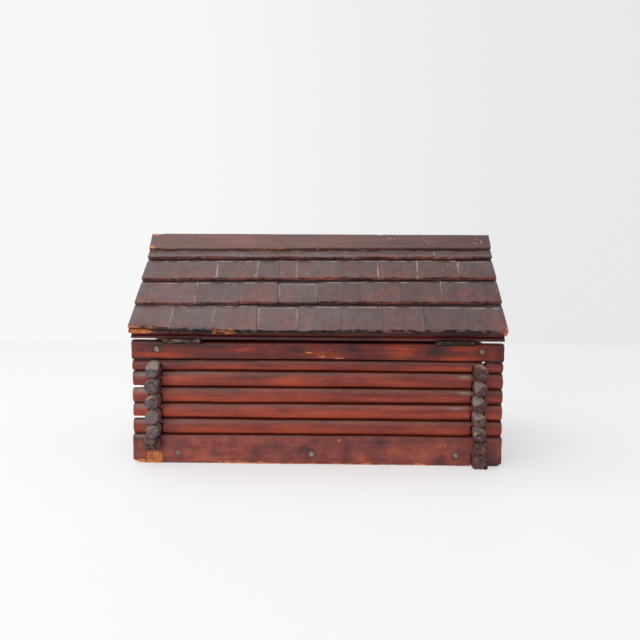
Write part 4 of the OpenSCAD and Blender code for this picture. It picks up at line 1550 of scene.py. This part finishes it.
METALS = {
    BRASS: (
        "left_hinge_body_leaf", "left_hinge_lid_leaf", "hinge_body_screws", "hinge_lid_screws",
    ),
    DARK_BRASS: ("right_hinge_body_leaf", "right_hinge_lid_leaf"),
    STEEL: ("left_hinge_pin", "right_hinge_pin"),
    NAIL: ("base_board_nails", "top_board_nails"),
}
for material, nodes in METALS.items():
    for node in nodes:
        piece = frame["nodes"][node]
        piece.data.materials.clear()
        piece.data.materials.append(material)

# Camera, stage and lights

# The photograph's camera: place in millimetres, turns in degrees, focal length in pixels of an
# image this wide
CAMERA_PLACE = (20.4, -841.8, 220.3)
CAMERA_PITCH = 5.568
CAMERA_YAW = -1.338
CAMERA_ROLL = 0.288
FOCAL_PIXELS = 747.0
IMAGE_WIDTH = 640.0
SENSOR = 36.0
# Extent of the floor and backdrop, in metres
TABLE_HALF, TABLE_EDGE = 4, 0.87
BACKDROP_HALF, BACKDROP_LOW, BACKDROP_HIGH, BACKDROP_Y = 6, -4, 5, 2.6


def photo_camera():
    pitch, yaw, roll = (math.radians(t) for t in (CAMERA_PITCH, CAMERA_YAW, CAMERA_ROLL))
    level_y = math.cos(pitch)
    ahead = Vector((math.sin(yaw) * level_y, math.cos(yaw) * level_y, -math.sin(pitch)))
    level = Vector((math.cos(yaw), -math.sin(yaw), 0))
    upright = level.cross(ahead)
    right = math.cos(roll) * level + math.sin(roll) * upright
    up = -math.sin(roll) * level + math.cos(roll) * upright
    data = bpy.data.cameras.new("photo_camera")
    data.sensor_width = SENSOR
    data.lens = FOCAL_PIXELS / IMAGE_WIDTH * SENSOR
    data.clip_start, data.clip_end = 0.01, 50
    camera = bpy.data.objects.new("photo_camera", data)
    turn = Matrix((right, up, -ahead)).transposed().to_4x4()
    camera.matrix_world = Matrix.Translation([c * MM for c in CAMERA_PLACE]) @ turn
    bpy.context.scene.collection.objects.link(camera)
    bpy.context.scene.camera = camera


def seen_rays(g):
    """1 for a camera, glossy or transmission ray, which meets a plain white, and 0 for the rest."""
    path = g.node("LightPath", {}).outputs
    rays = g.math("MAXIMUM", path["Is Camera Ray"], path["Is Glossy Ray"])
    return g.math("MAXIMUM", rays, path["Is Transmission Ray"])


def pale(name, colour, glow, share):
    """Plain pale sheet. Seen rays meet partly its glow: one colour, or two from left to right."""
    g = Graph(bpy.data.materials.new(name))
    shader = g.node("BsdfPrincipled", {"Base Color": colour, "Roughness": 0.55}).outputs[0]
    if len(glow) == 2:
        place = g.node("TexCoord", {}).outputs["Object"]
        across = g.node("SeparateXYZ", {"Vector": place}).outputs[0]
        glow = g.mix(g.rise(across, -1.1, 1.1), *glow)
    white = g.node("Emission", {"Color": glow, "Strength": 1.0}).outputs[0]
    factor = g.math("MULTIPLY", seen_rays(g), share)
    return g.surface(g.node("MixShader", {0: factor, 1: shader, 2: white}).outputs[0])


def flat(name, corners, material):
    mesh = bpy.data.meshes.new(name)
    mesh.from_pydata(corners, [], [(0, 1, 2, 3)])
    mesh.materials.append(material)
    sheet = bpy.data.objects.new(name, mesh)
    bpy.context.scene.collection.objects.link(sheet)


photo_camera()
flat(
    "floor", [(x, y, 0) for x, y in rectangle(-TABLE_HALF, -TABLE_HALF, TABLE_HALF, TABLE_EDGE)],
    pale("floor_white", rgb(242, 241, 241), rgb(255, 254, 254), 0.5),
)
# The backdrop's glow is painted darker toward the right: painted shade of light falling off there
flat(
    "backdrop",
    [
        (x, BACKDROP_Y, z)
        for x, z in rectangle(-BACKDROP_HALF, BACKDROP_LOW, BACKDROP_HALF, BACKDROP_HIGH)
    ],
    pale("backdrop_white", rgb(240, 240, 240), (rgb(252, 252, 252), rgb(236, 236, 237)), 0.9),
)

world = bpy.data.worlds.new("studio")
bpy.context.scene.world = world
g = Graph(world)
ambient = g.node("Background", {"Color": rgb(252, 252, 255), "Strength": 0.5}).outputs[0]
white = g.node("Background", {"Color": rgb(248, 248, 249), "Strength": 1.0}).outputs[0]
mixed = g.node("MixShader", {0: seen_rays(g), 1: ambient, 2: white}).outputs[0]
g.surface(mixed, "OutputWorld")


def softbox(name, place, target, width, height, watts):
    data = bpy.data.lights.new(name, "AREA")
    data.shape = "RECTANGLE"
    data.size, data.size_y = width, height
    data.energy = watts
    lamp = bpy.data.objects.new(name, data)
    lamp.location = place
    lamp.rotation_mode = "QUATERNION"
    lamp.rotation_quaternion = (Vector(target) - Vector(place)).to_track_quat("-Z", "Y")
    bpy.context.scene.collection.objects.link(lamp)


softbox("overhead", (-0.52, 0.0, 1.7), (0, 0, 0.1), 1.8, 1.8, 19)
softbox("key", (-1.3, -1.9, 0.8), (0, 0, 0.1), 1.4, 1.0, 20)

bpy.context.scene.view_settings.view_transform = "Standard"
